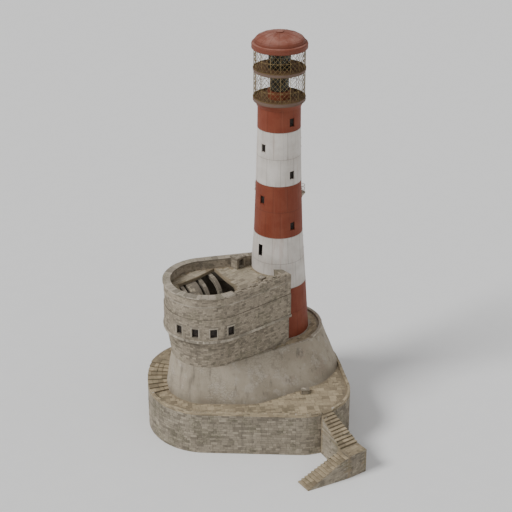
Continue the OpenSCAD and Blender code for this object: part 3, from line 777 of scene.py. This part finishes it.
def swollen(rounds, turn, sharp=9.0):
    """A soft line round several circles: its reach in each direction, and its slope."""
    n = np.stack([np.cos(turn), np.sin(turn)], axis=1)
    t = np.stack([-np.sin(turn), np.cos(turn)], axis=1)
    reach = np.stack([n @ centre + radius for centre, radius in rounds])
    slope = np.stack([t @ centre for centre, radius in rounds])
    share = np.exp(sharp * (reach - reach.max(axis=0)))
    share /= share.sum(axis=0)
    return (share * reach).sum(axis=0)[:, None] * n + (share * slope).sum(axis=0)[:, None] * t


AROUND = 360
LEVELS = 40
turn = np.linspace(0, 2 * math.pi, AROUND, endpoint=False)
foot_line, head_line = swollen(FOOT_ROUNDS, turn), swollen(HEAD_ROUNDS, turn)
middle = head_line.mean(axis=0)
rows = []
for k in range(LEVELS + 1):
    t = k / LEVELS
    z = TERRACE_Z + t * (LEDGE_Z - TERRACE_Z)
    line = foot_line * (1 - t) + head_line * t
    out = line - middle
    out /= np.linalg.norm(out, axis=1, keepdims=True)
    wave = 0.02 * np.sin(7 * turn + 3.1 * t) + 0.014 * np.sin(17 * turn - 5 * t)
    wave += 0.009 * np.sin(31 * turn + 9 * t)
    rows.append(np.column_stack([line + out * (wave - 0.03)[:, None], np.full(AROUND, z)]))
lip = rows[-1][:, :2]
for shrink in (0.997, 0.9, 0.6, 0.2):
    rows.append(np.column_stack([middle + (lip - middle) * shrink, np.full(AROUND, LEDGE_Z + 0.002)]))
faces = []
for k in range(len(rows) - 1):
    for j in range(AROUND):
        low, high, ahead = k * AROUND, (k + 1) * AROUND, (j + 1) % AROUND
        faces.append((low + j, low + ahead, high + ahead, high + j))
base = mesh_from("rendered_base", np.concatenate(rows), faces, base_render, None, smooth=True)
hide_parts("battered_base")

# ---------------------------------------------------------------- ledge
# The base's flat top is flagged, with an edging of long dressed stones. A dressed stone kerb
# stands on part of it, built like the walls and capped with slabs.
flag_stone = stone_finish("flag_stone", (0.40, 0.325, 0.215), (0.29, 0.232, 0.152), moss=0.15, streak=0.1)
ON_LEDGE = (("fort_podium", LEDGE_Z + 0.1), ("ledge_kerb", LEDGE_Z + 0.1))
ledge_loops = [loop for name, z in ON_LEDGE for loop in loops_of(name, z)]


def open_ledge(point):
    return off_shaft(point) and not inside(ledge_loops, [point[:2]])[0]


def round_shaft(spots):
    return (np.hypot(spots[:, 0], spots[:, 1]) > SHAFT_R[0] + 0.03) & inside([lip], spots)


rims = slabs_along(Outline(lip), 0.34, LEDGE_Z, 0.5, proud=0.04, keep=open_ledge)
blocks("ledge_edging", rims, coping_stone)
flags("ledge_flags", "battered_base", LEDGE_Z, ON_LEDGE, 0.5, 25, flag_stone, proud=0.03,
      limit=round_shaft)
coat(coping_stone, "ledge_kerb")
kerb_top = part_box("ledge_kerb")[1][2]
rims = stone_wall(node_lines("ledge_kerb"), LEDGE_Z, kerb_top, 0.25, 0.5)
flags("ledge_kerb_top", "ledge_kerb", kerb_top, [], 0.35, 0, coping_stone, proud=0.012)
blocks("ledge_kerb_stones", rims, coping_stone)

# ---------------------------------------------------------------- terrace
# Retaining walls of larger, rougher stones hold up a flagged terrace. An edge of long slabs runs
# round it, with a kerb of the same stone on two lengths.
bank_stone = stone_finish("bank_stone", (0.34, 0.295, 0.225), (0.245, 0.21, 0.16), moss=0.3)
coat(mortar, "terrace_core", "terrace_wall_left", "terrace_wall_front", "terrace_wall_lobe",
     "terrace_wall_right", "terrace_wall_back")
coat(bed_sand, "terrace_paving")
coat(coping_stone, "terrace_kerb")
terrace_line = Outline(loops_of("terrace_paving", TERRACE_Z - 0.05)[0])
STAIR_X = -2.34
STAIR_Y = -11.5
STAIR_W = 1.33


def clear_of_stair(point, normal=None):
    beside = abs(point[0] - STAIR_X) >= STAIR_W / 2 + 0.05
    return beside or point[1] >= STAIR_Y + 0.6 or point[2] >= TERRACE_Z


EDGE_H = 0.14
rims = stone_wall(lambda z: [terrace_line], 0.0, TERRACE_Z - EDGE_H, 0.27, 0.52, (), clear_of_stair,
                  0.02, 0.04, 0.03)
blocks("retaining_stones", rims, bank_stone)
rims = stone_wall(lambda z: [terrace_line], TERRACE_Z - EDGE_H, TERRACE_Z, 0.2, 0.7, (), clear_of_stair,
                  0.016, 0.05, 0.03)
blocks("terrace_edge_course", rims, flag_stone)

PAVED_ROUND = (("terrace_kerb", TERRACE_Z + 0.1), ("battered_base", TERRACE_Z + 0.05),
               ("side_steps", TERRACE_Z + 0.05), ("side_landing", TERRACE_Z + 0.05),
               ("terrace_block", TERRACE_Z + 0.1))
kerb_loops = loops_of("terrace_kerb", TERRACE_Z + 0.1)
step_loops = loops_of("side_steps", TERRACE_Z + 0.05) + loops_of("side_landing", TERRACE_Z + 0.05)


def open_edge(point):
    return not inside(kerb_loops + step_loops, [point[:2]])[0] and clear_of_stair(point)


def under_kerb(point):
    return inside(kerb_loops, [point[:2]])[0]


rims = slabs_along(terrace_line, 0.42, TERRACE_Z, 0.34, keep=open_edge, proud=0.035)
blocks("terrace_edge_slabs", rims, flag_stone)
inner = Outline(terrace_line.at(np.linspace(0, terrace_line.length, 400)[:-1], np.full(399, -0.46)))
flags("terrace_flags", "terrace_paving", TERRACE_Z, PAVED_ROUND, 0.5, -28, flag_stone, proud=0.028,
      limit=lambda spots: inside([inner.points[:-1]], spots))

kerb_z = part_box("terrace_kerb")[1][2]
rims = stone_wall(node_lines("terrace_kerb"), TERRACE_Z, kerb_z, 0.25, 0.5)
rims += slabs_along(terrace_line, 0.24, kerb_z, 0.5, keep=under_kerb)
blocks("kerb_stones", rims, flag_stone)

# ---------------------------------------------------------------- side steps
# Broad worn steps of cut slabs, two to four to a tread, climb beside the bastion to a flagged
# landing at the back.
coat(bed_sand, "side_steps", "side_landing")
STEP_COUNT = 8
STEP_RISE = 0.15
WALK_R = BASTION_R + 0.15 + 1.82
rims = []
angles = np.radians(np.linspace(168, 122, STEP_COUNT + 1))
radii = np.array([4.2, 4.75, 5.25, 5.75, WALK_R + 0.03])
JOINT_IN = np.array([(-1, 0), (-1, 0), (1, 0), (1, 0)]) * 0.012
BEVEL_IN = np.array([(-1, -1), (-1, 1), (1, 1), (1, -1)]) * (0.016, 0.004)
for k in range(STEP_COUNT):
    z = TERRACE_Z + (k + 1) * STEP_RISE
    for r0, r1 in zip(radii + np.r_[0, rng.uniform(-0.15, 0.15, 3), 0], np.r_[radii[1:], radii[-1]]):
        if r1 - r0 < 0.1:
            continue
        a0, a1 = angles[k] + 0.012, angles[k + 1] + 0.004
        plan = np.array([(r1, a0), (r1, a1), (r0, a1), (r0, a0)]) + JOINT_IN
        face = plan + BEVEL_IN
        rim = []
        for polar, lift in ((plan, -0.06), (plan, 0.008), (face, 0.028)):
            spots = BASTION + polar[:, :1] * np.stack([np.cos(polar[:, 1]), np.sin(polar[:, 1])], axis=1)
            rim.append(np.column_stack([spots, np.full(4, z + lift) + rng.uniform(-0.004, 0.004, 4)]))
        rims.append(rim)
blocks("side_step_slabs", rims, flag_stone)
landing_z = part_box("side_landing")[1][2]
flags("side_landing_flags", "side_landing", landing_z, [], 0.5, 30, flag_stone)

# ---------------------------------------------------------------- stair
# Two flights of stone steps with a landing between them, between solid side walls of rubble. Each
# tread is two or three worn slabs that overhang their riser a little.
coat(bed_sand, "stair_upper_flight", "stair_landing", "stair_lower_flight")
landing_low, landing_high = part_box("stair_landing")
LANDING_Z = landing_high[2]
UPPER_RISERS = 11
LOWER_RISERS = 14
UPPER_END = landing_high[1]
LOWER_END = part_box("stair_lower_flight")[0][0]
FOOT_OUT = 0.83


def tread_slabs(a0, b0, a1, b1, risers, z_top, z_foot):
    """Three slabs to a tread, down a flight from its top edge a0-b0 to its foot a1-b1."""
    a0, b0, a1, b1 = (np.array(p, float) for p in (a0, b0, a1, b1))
    rims = []
    treads = risers - 1
    for k in range(treads):
        z = z_top - (k + 1) * (z_top - z_foot) / risers
        cuts = np.sort(np.r_[0, rng.uniform(0.3, 0.42), rng.uniform(0.6, 0.72), 1])
        near, far = k / treads, (k + 1 + 0.1) / treads
        for u, v in zip(cuts, cuts[1:]):
            corners = []
            for share, cross in ((near, u), (near, v), (far, v), (far, u)):
                a, b = a0 + (a1 - a0) * share, b0 + (b1 - b0) * share
                corners.append(a + (b - a) * cross)
            corners = np.array(corners)
            if np.cross(corners[1] - corners[0], corners[2] - corners[1]) < 0:
                corners = corners[::-1]
            pull = corners.mean(axis=0) - corners
            pull /= np.linalg.norm(pull, axis=1, keepdims=True)
            rim = []
            for inset, lift in ((0.012, -0.05), (0.010, 0.006), (0.035, 0.026)):
                wobble = rng.uniform(-0.004, 0.004, 4)
                rim.append(np.column_stack([corners + pull * inset, np.full(4, z + lift) + wobble]))
            rims.append(rim)
    return rims


rims = tread_slabs((STAIR_X - STAIR_W / 2, STAIR_Y), (STAIR_X + STAIR_W / 2, STAIR_Y),
                   (landing_low[0], UPPER_END), (landing_high[0], UPPER_END),
                   UPPER_RISERS, TERRACE_Z, LANDING_Z)
rims += tread_slabs((landing_low[0], landing_low[1]), (landing_low[0], UPPER_END),
                    (LOWER_END, UPPER_END - FOOT_OUT), (LOWER_END + 0.06, UPPER_END + FOOT_OUT),
                    LOWER_RISERS, LANDING_Z, 0.0)
blocks("stair_treads", rims, flag_stone)
flags("stair_landing_flags", "stair_landing", LANDING_Z, [], 0.5, 8, flag_stone, proud=0.026)


def stair_side(name, rim_height):
    """Rubble on the side faces only; the risers stay plain."""
    low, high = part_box(name)
    along = 1 if name == "stair_upper_flight" else 0

    def keep(point, normal):
        return abs(normal[along]) < 0.8

    return stone_wall(node_lines(name), 0.0, rim_height, 0.2, 0.4, (), keep, 0.014, 0.02)


rims = stair_side("stair_upper_flight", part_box("stair_upper_flight")[1][2] - 0.02)
rims += stair_side("stair_lower_flight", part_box("stair_lower_flight")[1][2] - 0.02)
rims += stone_wall(node_lines("stair_landing"), 0.0, LANDING_Z, 0.2, 0.4)
blocks("stair_side_stones", rims, bank_stone)

# ---------------------------------------------------------------- shaft
# The tower is cast in rings of large panels and painted in red and white bands. Fine joints show
# between the panels, a cover strip stands over the joint where two bands meet, and the paint is
# faded, streaked by rain and rubbed through at the edges.
RING_H = (SHAFT_Z[1] - SHAFT_Z[0]) / 2
PANELS = 10


def paint_finish(name, main, faded, streak, dirt, strength, joint, well=1.86):
    """Old paint on panels, made near black inside the well as painted shade."""
    look = Finish(name, 0.62)
    x, y, z = look.split(look.place())
    angle = y.math("ARCTAN2", x) * (PANELS / (2 * math.pi)) + 0.37
    ring_height = (z - SHAFT_Z[0]) / RING_H
    ring_number = ring_height.math("FLOOR")
    panel = angle + ring_number.math("MODULO", 2.0) * 0.5
    off_side = (panel.math("FRACT") - 0.5).math("ABSOLUTE")
    off_ring = (ring_height.math("FRACT") - 0.5).math("ABSOLUTE")
    side_joint = look.band(off_side, 0.484, 0.4975)
    ring_joint = look.band(off_ring, 0.488, 0.4975)
    seam = side_joint.math("MAXIMUM", ring_joint)
    tone = look.add("ShaderNodeTexWhiteNoise", {"noise_dimensions": "2D"},
                    {"Vector": look.joined(panel.math("FLOOR"), ring_number)})
    body = look.mix(main, faded, look.band(look.noise(0.7, 5.0, 0.6), 0.35, 0.68))
    body = look.mix(body, faded, tone * 0.22)
    run = look.noise(1.0, 5.0, 0.62, look.joined(x * 2.6, y * 2.6, z * 0.13))
    body = look.mix(body, streak, look.band(run, 0.50, 0.72) * strength)
    fine_run = look.noise(1.0, 4.0, 0.65, look.joined(x * 8.0, y * 8.0, z * 0.30))
    under = look.band(off_ring, 0.30, 0.5) * look.band(fine_run, 0.48, 0.66)
    body = look.mix(body, dirt, under * 0.35 * strength + look.band(fine_run, 0.56, 0.72) * 0.22)
    body = look.mix(body, dirt, look.band(look.noise(5.0, 6.0, 0.7), 0.6, 0.75) * 0.3)
    body = look.mix(body, joint, seam * 0.55)
    # Painted shade: every surface inside the well's radius is made near black, standing in for the shade
    # inside the tower.
    painted_well_shade = (x * x + y * y).math("SQRT") < well
    body = look.mix(body, (0.012, 0.011, 0.010), painted_well_shade)
    grain = look.noise(30.0, 4.0, 0.65)
    relief = grain * 0.15 + run * 0.25 - seam * 1.0
    return look.paint(body, grain * 0.2 + 0.52, relief, 0.012)


red_paint = paint_finish("red_paint", (0.185, 0.040, 0.019), (0.215, 0.056, 0.028), (0.23, 0.075, 0.044),
                         (0.075, 0.025, 0.015), 0.35, (0.07, 0.018, 0.01))
white_paint = paint_finish("white_paint", (0.64, 0.60, 0.55), (0.54, 0.50, 0.45), (0.48, 0.38, 0.325),
                           (0.21, 0.18, 0.15), 0.6, (0.15, 0.10, 0.075))
coat(red_paint, "shaft_foot_band", "shaft_middle_band", "shaft_top_band")
coat(white_paint, "shaft_lower_band", "shaft_upper_band")


def shaft_r(z):
    """The shaft's radius at a height."""
    return float(np.interp(z, SHAFT_Z, SHAFT_R))


def lathe(name, profile, material, steps=96):
    """A turned piece from (radius, height) points."""
    profile = np.asarray(profile, float)
    turn = np.arange(steps) * 2 * math.pi / steps
    vertices = [(r * math.cos(w), r * math.sin(w), z) for r, z in profile for w in turn]
    faces = []
    for k in range(len(profile) - 1):
        low, high = k * steps, (k + 1) * steps
        for j in range(steps):
            ahead = (j + 1) % steps
            faces.append((low + j, low + ahead, high + ahead, high + j))
    return mesh_from(name, vertices, faces, material, None)


STRIP = ((-0.01, -0.025), (0.010, -0.018), (0.012, 0.0), (0.010, 0.018), (-0.01, 0.025))
for z in SHAFT_Z[1:5]:
    profile = [(shaft_r(z) + push, z + up) for push, up in STRIP]
    lathe(f"shaft_joint_{z:.0f}", profile, white_paint)

# ---------------------------------------------------------------- shaft windows
# Ten small windows and two tall openings climb the shaft in four columns. The small ones are dark frames with
# crossed bars, the tall ones are lined with near-black boards as painted shade inside the openings, and all
# have thin painted sills and heads.
coat(dark_frame, "shaft_windows")


def tubes(name, paths, radius, material, sides=5, closed=False):
    """Round bars along many paths, as one piece."""
    vertices, faces = [], []
    for path in paths:
        path = np.asarray(path, float)
        ahead = np.roll(path, -1, axis=0) - path if closed else np.gradient(path, axis=0)
        ahead /= np.maximum(np.linalg.norm(ahead, axis=1, keepdims=True), 1e-9)
        guide = np.where(np.abs(ahead[:, 2:3]) > 0.9, [[1.0, 0, 0]], [[0, 0, 1.0]])
        side = np.cross(ahead, guide)
        side /= np.maximum(np.linalg.norm(side, axis=1, keepdims=True), 1e-9)
        up = np.cross(side, ahead)
        base = len(vertices)
        turn = np.arange(sides) * 2 * math.pi / sides
        for spot, a, b in zip(path, side, up):
            vertices += [spot + radius * (math.cos(w) * a + math.sin(w) * b) for w in turn]
        count = len(path)
        for k in range(count if closed else count - 1):
            here, there = base + k * sides, base + (k + 1) % count * sides
            for j in range(sides):
                m = (j + 1) % sides
                faces.append((here + j, here + m, there + m, there + j))
        if not closed:
            faces.append(tuple(base + j for j in range(sides))[::-1])
            faces.append(tuple(base + (count - 1) * sides + j for j in range(sides)))
    return mesh_from(name, vertices, faces, material, None, smooth=True)


def facing(angle):
    """The way out of a round wall at an angle, and the level way along it."""
    return np.array([math.cos(angle), math.sin(angle), 0]), np.array([-math.sin(angle), math.cos(angle), 0])


def raised(z):
    return np.array([0, 0, z])


def plate(way_out, along, layers, half, z0, z1):
    """One upright block: layers give how far out its back, rim and face are, and how far inset."""
    rim = []
    for push, inset in layers:
        corners = ((inset - half, z0 + inset), (half - inset, z0 + inset),
                   (half - inset, z1 - inset), (inset - half, z1 - inset))
        rim.append(np.array([way_out * push + along * u + raised(h) for u, h in corners]))
    return rim


SLIT_W = 0.52
SLIT_H = 0.83
TALL_H = 1.25
SILL_T = 0.07
HEAD_T = 0.06
PITCH = RING_H * 2 * 0.4908
LOWEST_Z = LEDGE_Z + 1.7 * 2 * RING_H + 0.12
COLUMNS = ((-170, 0), (-90, 1), (-25, 0), (90, 1))
TALL_COLUMNS = (-170, -25)
bars, sills = [], []
for degrees, first in COLUMNS:
    n, t = facing(math.radians(degrees))
    for k in range(first, 6, 2):
        z = LOWEST_Z + k * PITCH
        height = TALL_H if k == 0 else SLIT_H
        if k:
            face = n * (shaft_r(z) - 0.135)
            for u in (-0.13, 0.0, 0.13):
                bars.append([face + t * u + raised(z + dz) for dz in (-0.36, 0.36)])
            for dz in (-0.2, 0.2):
                bars.append([face + t * u + raised(z + dz) for u in (-0.2, 0.2)])
        for z0, z1 in ((z - height / 2 - SILL_T, z - height / 2), (z + height / 2, z + height / 2 + HEAD_T)):
            r = shaft_r((z0 + z1) / 2)
            layers = ((r - 0.12, 0.0), (r + 0.012, 0.0), (r + 0.03, 0.008))
            sills.append((plate(n, t, layers, SLIT_W / 2 + 0.05, z0, z1), z))
tubes("window_bars", bars, 0.011, dark_frame, sides=4)

# Painted shade: the four sides of each tall opening, through the wall's thickness, are lined with near-black
# blocks.
rims = []
UP = np.array([0, 0, 1])
half_w, half_h = SLIT_W / 2, TALL_H / 2
near, far = shaft_r(LOWEST_Z) - 0.07, 1.72
for degrees in TALL_COLUMNS:
    n, t = facing(math.radians(degrees))
    for across, along, depth, reach in ((t, UP, half_w, half_h), (-t, UP, half_w, half_h),
                                        (UP, t, half_h, half_w), (-UP, t, half_h, half_w)):
        for cut in range(3):
            a, b = near + (far - near) * cut / 3, near + (far - near) * (cut + 1) / 3
            rim = []
            for off, inset in ((depth + 0.01, 0.0), (depth - 0.018, 0.0), (depth - 0.024, 0.006)):
                corners = ((a - inset, -reach), (b + inset, -reach), (b + inset, reach), (a - inset, reach))
                side = across * off + raised(LOWEST_Z)
                rim.append(np.array([n * d + along * u + side for d, u in corners]))
            normal = np.cross(rim[2][1] - rim[2][0], rim[2][2] - rim[2][1])
            if normal @ across > 0:
                rim = [line[::-1] for line in rim]
            rims.append(rim)
blocks("tall_window_shade_linings", rims, dark_frame)
for finish, slot, bands in ((red_paint, "red_paint", (0, 2, 4)), (white_paint, "white_paint", (1, 3))):
    chosen = [rim for rim, z in sills if np.searchsorted(SHAFT_Z, z) - 1 in bands]
    blocks("window_sills_" + slot, chosen, finish)

# ---------------------------------------------------------------- railings
# Pale painted iron: two half-round balconies on dished brackets high on the shaft, and a rail of
# posts and two bars along the back of the ledge.
def rail_finish():
    look = Finish("rail_paint", 0.55)
    rust = look.band(look.noise(9.0, 5.0, 0.65), 0.55, 0.68)
    body = look.mix((0.50, 0.45, 0.36), (0.40, 0.35, 0.27), look.noise(3.0))
    body = look.mix(body, (0.16, 0.065, 0.028), rust * 0.8)
    return look.paint(body, look.noise(20.0) * 0.3 + 0.4, look.noise(35.0), 0.003)


rail_paint = rail_finish()
coat(rail_paint, "side_balconies", "ledge_railing")
low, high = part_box("ledge_railing")
RAIL_R = 4.47
feet, caps = [], []
for degrees in range(64, 135, 10):
    centre = RAIL_R * toward(math.radians(degrees))
    caps.append([np.array([*centre, high[2] - 0.02 + dz]) for dz in (0.0, 0.05)])
    feet.append([np.array([*centre, low[2] + dz]) for dz in (0.0, 0.04)])
tubes("rail_post_feet", feet, 0.05, rail_paint, sides=8)
tubes("rail_post_caps", caps, 0.032, rail_paint, sides=8)

# ---------------------------------------------------------------- gallery decks
# Two round decks of iron plate with grey rims and rusty floors, the lower one on a red corbel.
# Their floors are laid in wedges of sheet with open joints, and a bead runs round each rim.
def iron_finish(name, top, side):
    look = Finish(name, 0.7, metallic=0.15)
    rust = look.band(look.noise(1.6, 6.0, 0.65), 0.42, 0.62)
    floor_body = look.mix(top, (0.13, 0.062, 0.03), rust * 0.75)
    side_body = look.mix(side, (0.16, 0.085, 0.05), look.band(look.noise(2.4, 6.0, 0.7), 0.54, 0.7) * 0.7)
    body = look.mix(side_body, floor_body, look.band(look.facing_up(), 0.6, 0.9))
    return look.paint(body, look.noise(12.0) * 0.3 + 0.55, look.noise(26.0, 5.0), 0.006)


rim_iron = iron_finish("rim_iron", (0.135, 0.085, 0.045), (0.17, 0.115, 0.088))
top_red = paint_finish("top_red_paint", (0.185, 0.040, 0.019), (0.215, 0.056, 0.028), (0.17, 0.06, 0.036),
                       (0.075, 0.025, 0.015), 0.5, (0.12, 0.03, 0.015), well=0.1)
coat(rim_iron, "gallery_rim", "upper_deck")
coat(top_red, "gallery_floor", "lantern_wall")
GALLERY_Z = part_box("lantern_wall")[0][2]
RIM_LOW, RIM_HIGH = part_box("gallery_rim")
GALLERY_R = RIM_HIGH[0]
UPPER_LOW, UPPER_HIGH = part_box("upper_deck")
UPPER_Z = UPPER_HIGH[2] - 0.04
LANTERN_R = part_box("lantern_wall")[1][0] - 0.09


def plate_ring(name, r0, r1, z, count, material):
    """Deck plates: wedges of sheet round a deck, with open joints."""
    rims = []
    for k in range(count):
        for ra, rb in ((r0, (r0 + r1) / 2), ((r0 + r1) / 2, r1)):
            a, b = (2 * math.pi * (k + e) / count for e in (0.01, 0.99))
            arcs = np.array([(rb - 0.01, a), (rb - 0.01, b), (ra + 0.01, b), (ra + 0.01, a)])
            rim = []
            for inset, lift in ((0, -0.004), (0, 0.006), (0.006, 0.010)):
                r = arcs[:, 0] + np.array([-1, -1, 1, 1]) * inset
                w = arcs[:, 1]
                rim.append(np.column_stack([r * np.cos(w), r * np.sin(w), np.full(4, z + lift)]))
            rims.append(rim)
    blocks(name, rims, material)


def ring(radius, z, steps=96):
    """A level circle of points."""
    turn = np.arange(steps) * 2 * math.pi / steps
    return np.stack([radius * np.cos(turn), radius * np.sin(turn), np.full(steps, z)], axis=1)


plate_ring("gallery_plates", LANTERN_R + 0.06, GALLERY_R - 0.13, GALLERY_Z, 28, rim_iron)
plate_ring("upper_deck_plates", LANTERN_R + 0.06, GALLERY_R - 0.09, UPPER_Z, 28, rim_iron)
for name, z in (("gallery_rim_bead", RIM_HIGH[2] - 0.02), ("gallery_rim_foot", RIM_LOW[2] + 0.06),
                ("upper_rim_bead", UPPER_HIGH[2] - 0.02)):
    tubes(name, [ring(GALLERY_R + 0.002, z)], 0.02, rim_iron, sides=8, closed=True)

# ---------------------------------------------------------------- lantern
# A glazed drum stands on a low red wall. Dark bars hold its panes in both storeys, and a drum
# lens of many cut-glass rings stands inside, with a glass pedestal over it.
def glass_finish():
    look = Finish("lantern_glass", 0.12, 0.0, {"Transmission Weight": 0.8, "IOR": 1.3})
    body = look.mix((0.26, 0.27, 0.21), (0.10, 0.085, 0.055), look.band(look.noise(1.8, 5.0), 0.4, 0.66))
    return look.paint(body, look.noise(4.0, 5.0) * 0.25 + 0.05)


def lens_finish():
    look = Finish("lens_glass", 0.15, 0.0, {"Transmission Weight": 0.35, "IOR": 1.5})
    x, y, z = look.split(look.place())
    bands = look.band((z * 11.0).math("FRACT"), 0.78, 0.9)
    body = look.mix((0.20, 0.21, 0.14), (0.075, 0.045, 0.02), bands * 0.8)
    return look.paint(body, bands * 0.3 + 0.1, bands, 0.01)


lantern_glass, lens_glass = glass_finish(), lens_finish()
coat(lantern_glass, "lantern_lower_glazing", "lantern_upper_glazing")
coat(lens_glass, "lantern_lens")
WALL_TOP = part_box("lantern_wall")[1][2]
ROOF_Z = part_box("roof")[0][2]
PANES = 12


def drum(name, r, z0, z1, node):
    """Flat panes between bars, as two pieces."""
    apothem = r * math.cos(math.pi / PANES)
    rims = []
    lines = []
    for k in range(PANES):
        w = 2 * math.pi * k / PANES
        n, t = facing(w)
        half = r * math.sin(math.pi / PANES)
        layers = ((apothem - 0.012, 0.0), (apothem - 0.002, 0.0), (apothem, 0.003))
        rims.append(plate(n, t, layers, half, z0, z1))
        post = r * toward(w + math.pi / PANES)
        lines.append([np.array([*post, z0]), np.array([*post, z1])])
        lines.append([n * apothem + raised(z0), n * apothem + raised(z1)])
        for h in np.linspace(z0, z1, 7):
            lines.append([n * apothem + t * u + raised(h) for u in (-half, half)])
    panes = blocks(name + "_panes", rims, lantern_glass)
    tubes(name + "_bars", lines, 0.022, dark_frame, sides=4)
    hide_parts(node)


drum("lower_lantern", 0.90, WALL_TOP, UPPER_LOW[2], "lantern_lower_glazing")
drum("upper_lantern", LANTERN_R, UPPER_Z, ROOF_Z, "lantern_upper_glazing")
LENS_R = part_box("lantern_lens")[1][0]
LENS_LOW = GALLERY_Z + 1.08
LENS_RINGS = 22
RING_PITCH = 0.045
profile = []
for k in range(LENS_RINGS):
    z = LENS_LOW + k * RING_PITCH
    profile += [(LENS_R + 0.002, z), (LENS_R + 0.022, z + 0.022)]
lathe("lens_rings", profile, lens_glass, steps=48)
PEDESTAL = ((0.0, 1.5), (0.34, 1.42), (0.42, 1.1), (0.42, 0.5), (0.2, 0.3), (0.2, 0))
lathe("upper_pedestal", [(r, UPPER_Z + up) for r, up in PEDESTAL], lens_glass, steps=48)
for z in (GALLERY_Z + 0.25, GALLERY_Z + 0.52):
    name = f"lantern_wall_band_{z:.1f}".replace(".", "_")
    tubes(name, [ring(LANTERN_R + 0.025, z, 72)], 0.012, top_red, sides=6, closed=True)

# ---------------------------------------------------------------- gallery cage
# Fine diamond mesh of dull brass wire closes both storeys of the gallery from its deck to the
# next, on thin posts with a rail at hand height.
def brass_finish():
    look = Finish("dull_brass", 0.5, metallic=0.35)
    stain = look.band(look.noise(3.0, 5.0, 0.65), 0.45, 0.62)
    body = look.mix((0.31, 0.225, 0.10), (0.14, 0.08, 0.035), stain * 0.7)
    return look.paint(body, look.noise(15.0) * 0.3 + 0.35, look.noise(30.0), 0.003)


cage_brass = brass_finish()
coat(cage_brass, "cage_lower", "cage_upper")


CAGE_R = GALLERY_R - 0.07
CELLS = 36
POSTS = 16


def net(name, z0, z1, node):
    """Two families of spiral wires, with posts and rails."""
    rise = 2 * math.pi * CAGE_R / CELLS * 1.15
    steps = max(4, int(round((z1 - z0) / (rise / 2))))
    height = np.linspace(z0, z1, steps + 1)
    lean = (height - z0) / rise * (2 * math.pi / CELLS)
    wires = []
    for k in range(CELLS):
        start = 2 * math.pi * k / CELLS
        for way in (-1, 1):
            w = start + way * lean
            r = CAGE_R + way * 0.006
            wires.append(np.stack([r * np.cos(w), r * np.sin(w), height], axis=1))
    mesh_piece = tubes(name + "_mesh", wires, 0.015, cage_brass, sides=3)
    bars = []
    for k in range(POSTS):
        foot = CAGE_R * toward(2 * math.pi * (k + 0.5) / POSTS)
        bars.append([np.array([*foot, z]) for z in (z0, z1)])
    tubes(name + "_posts", bars, 0.021, cage_brass, sides=8)
    rails = [ring(CAGE_R, z) for z in (z0 + 0.02, z0 + 1.0, z1 - 0.02)]
    tubes(name + "_rails", rails, 0.018, cage_brass, sides=6, closed=True)
    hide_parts(node)


net("lower_cage", RIM_HIGH[2], UPPER_LOW[2], "cage_lower")
net("upper_cage", UPPER_HIGH[2], ROOF_Z, "cage_upper")

# ---------------------------------------------------------------- roof
# A low dome of sheet metal with a rolled rim. Thin standing seams run from the groove behind the rim to a
# flat cap, and the red is painted lighter and pinker where the dome faces up, as a painted highlight.
def roof_finish():
    look = Finish("roof_paint", 0.5)
    side = look.mix((0.19, 0.045, 0.024), (0.17, 0.062, 0.038), look.noise(1.4, 5.0))
    # Painted highlight: the lighter, pinker top colour is mixed in where the dome faces up.
    top = look.mix((0.36, 0.17, 0.13), (0.25, 0.085, 0.055), look.band(look.noise(0.9, 6.0, 0.6), 0.38, 0.64))
    body = look.mix(side, top, look.band(look.facing_up(), 0.55, 0.97))
    dirt = look.band(look.noise(3.5, 6.0, 0.7), 0.55, 0.72)
    body = look.mix(body, (0.12, 0.06, 0.045), dirt * 0.4)
    return look.paint(body, look.noise(8.0) * 0.25 + 0.42, look.noise(12.0), 0.004)


roof_paint = roof_finish()
coat(roof_paint, "roof")
ROOF_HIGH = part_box("roof")[1]
RIM_R = ROOF_HIGH[0] - 0.002
CAP_R = 0.33
DOME_R = 2.42
SEAMS = 16
points = np.array([v.co for v in nodes["roof"].data.vertices])
profile = np.stack([np.hypot(points[:, 0], points[:, 1]), points[:, 2]], axis=1)
profile = np.unique(np.round(profile, 3), axis=0)
on_dome = (profile[:, 0] > 0.3) & (profile[:, 0] < DOME_R)
on_dome &= (profile[:, 1] > ROOF_Z + 0.6) & (profile[:, 1] < ROOF_HIGH[2] - 0.05)
dome = profile[on_dome]
seams = []
for k in range(SEAMS):
    spread = dome[:, :1] * toward(2 * math.pi * (k + 0.3) / SEAMS)
    seams.append(np.column_stack([spread, dome[:, 1] + 0.004]))
tubes("roof_seams", seams, 0.014, roof_paint, sides=6)
beads = [ring(RIM_R, ROOF_Z + 0.09), ring(RIM_R, ROOF_Z + 0.40)]
tubes("roof_rim_beads", beads, 0.014, roof_paint, sides=8, closed=True)
cap_bead = ring(CAP_R, ROOF_HIGH[2] - 0.012, 48)
tubes("roof_cap_bead", [cap_bead], 0.018, roof_paint, sides=8, closed=True)
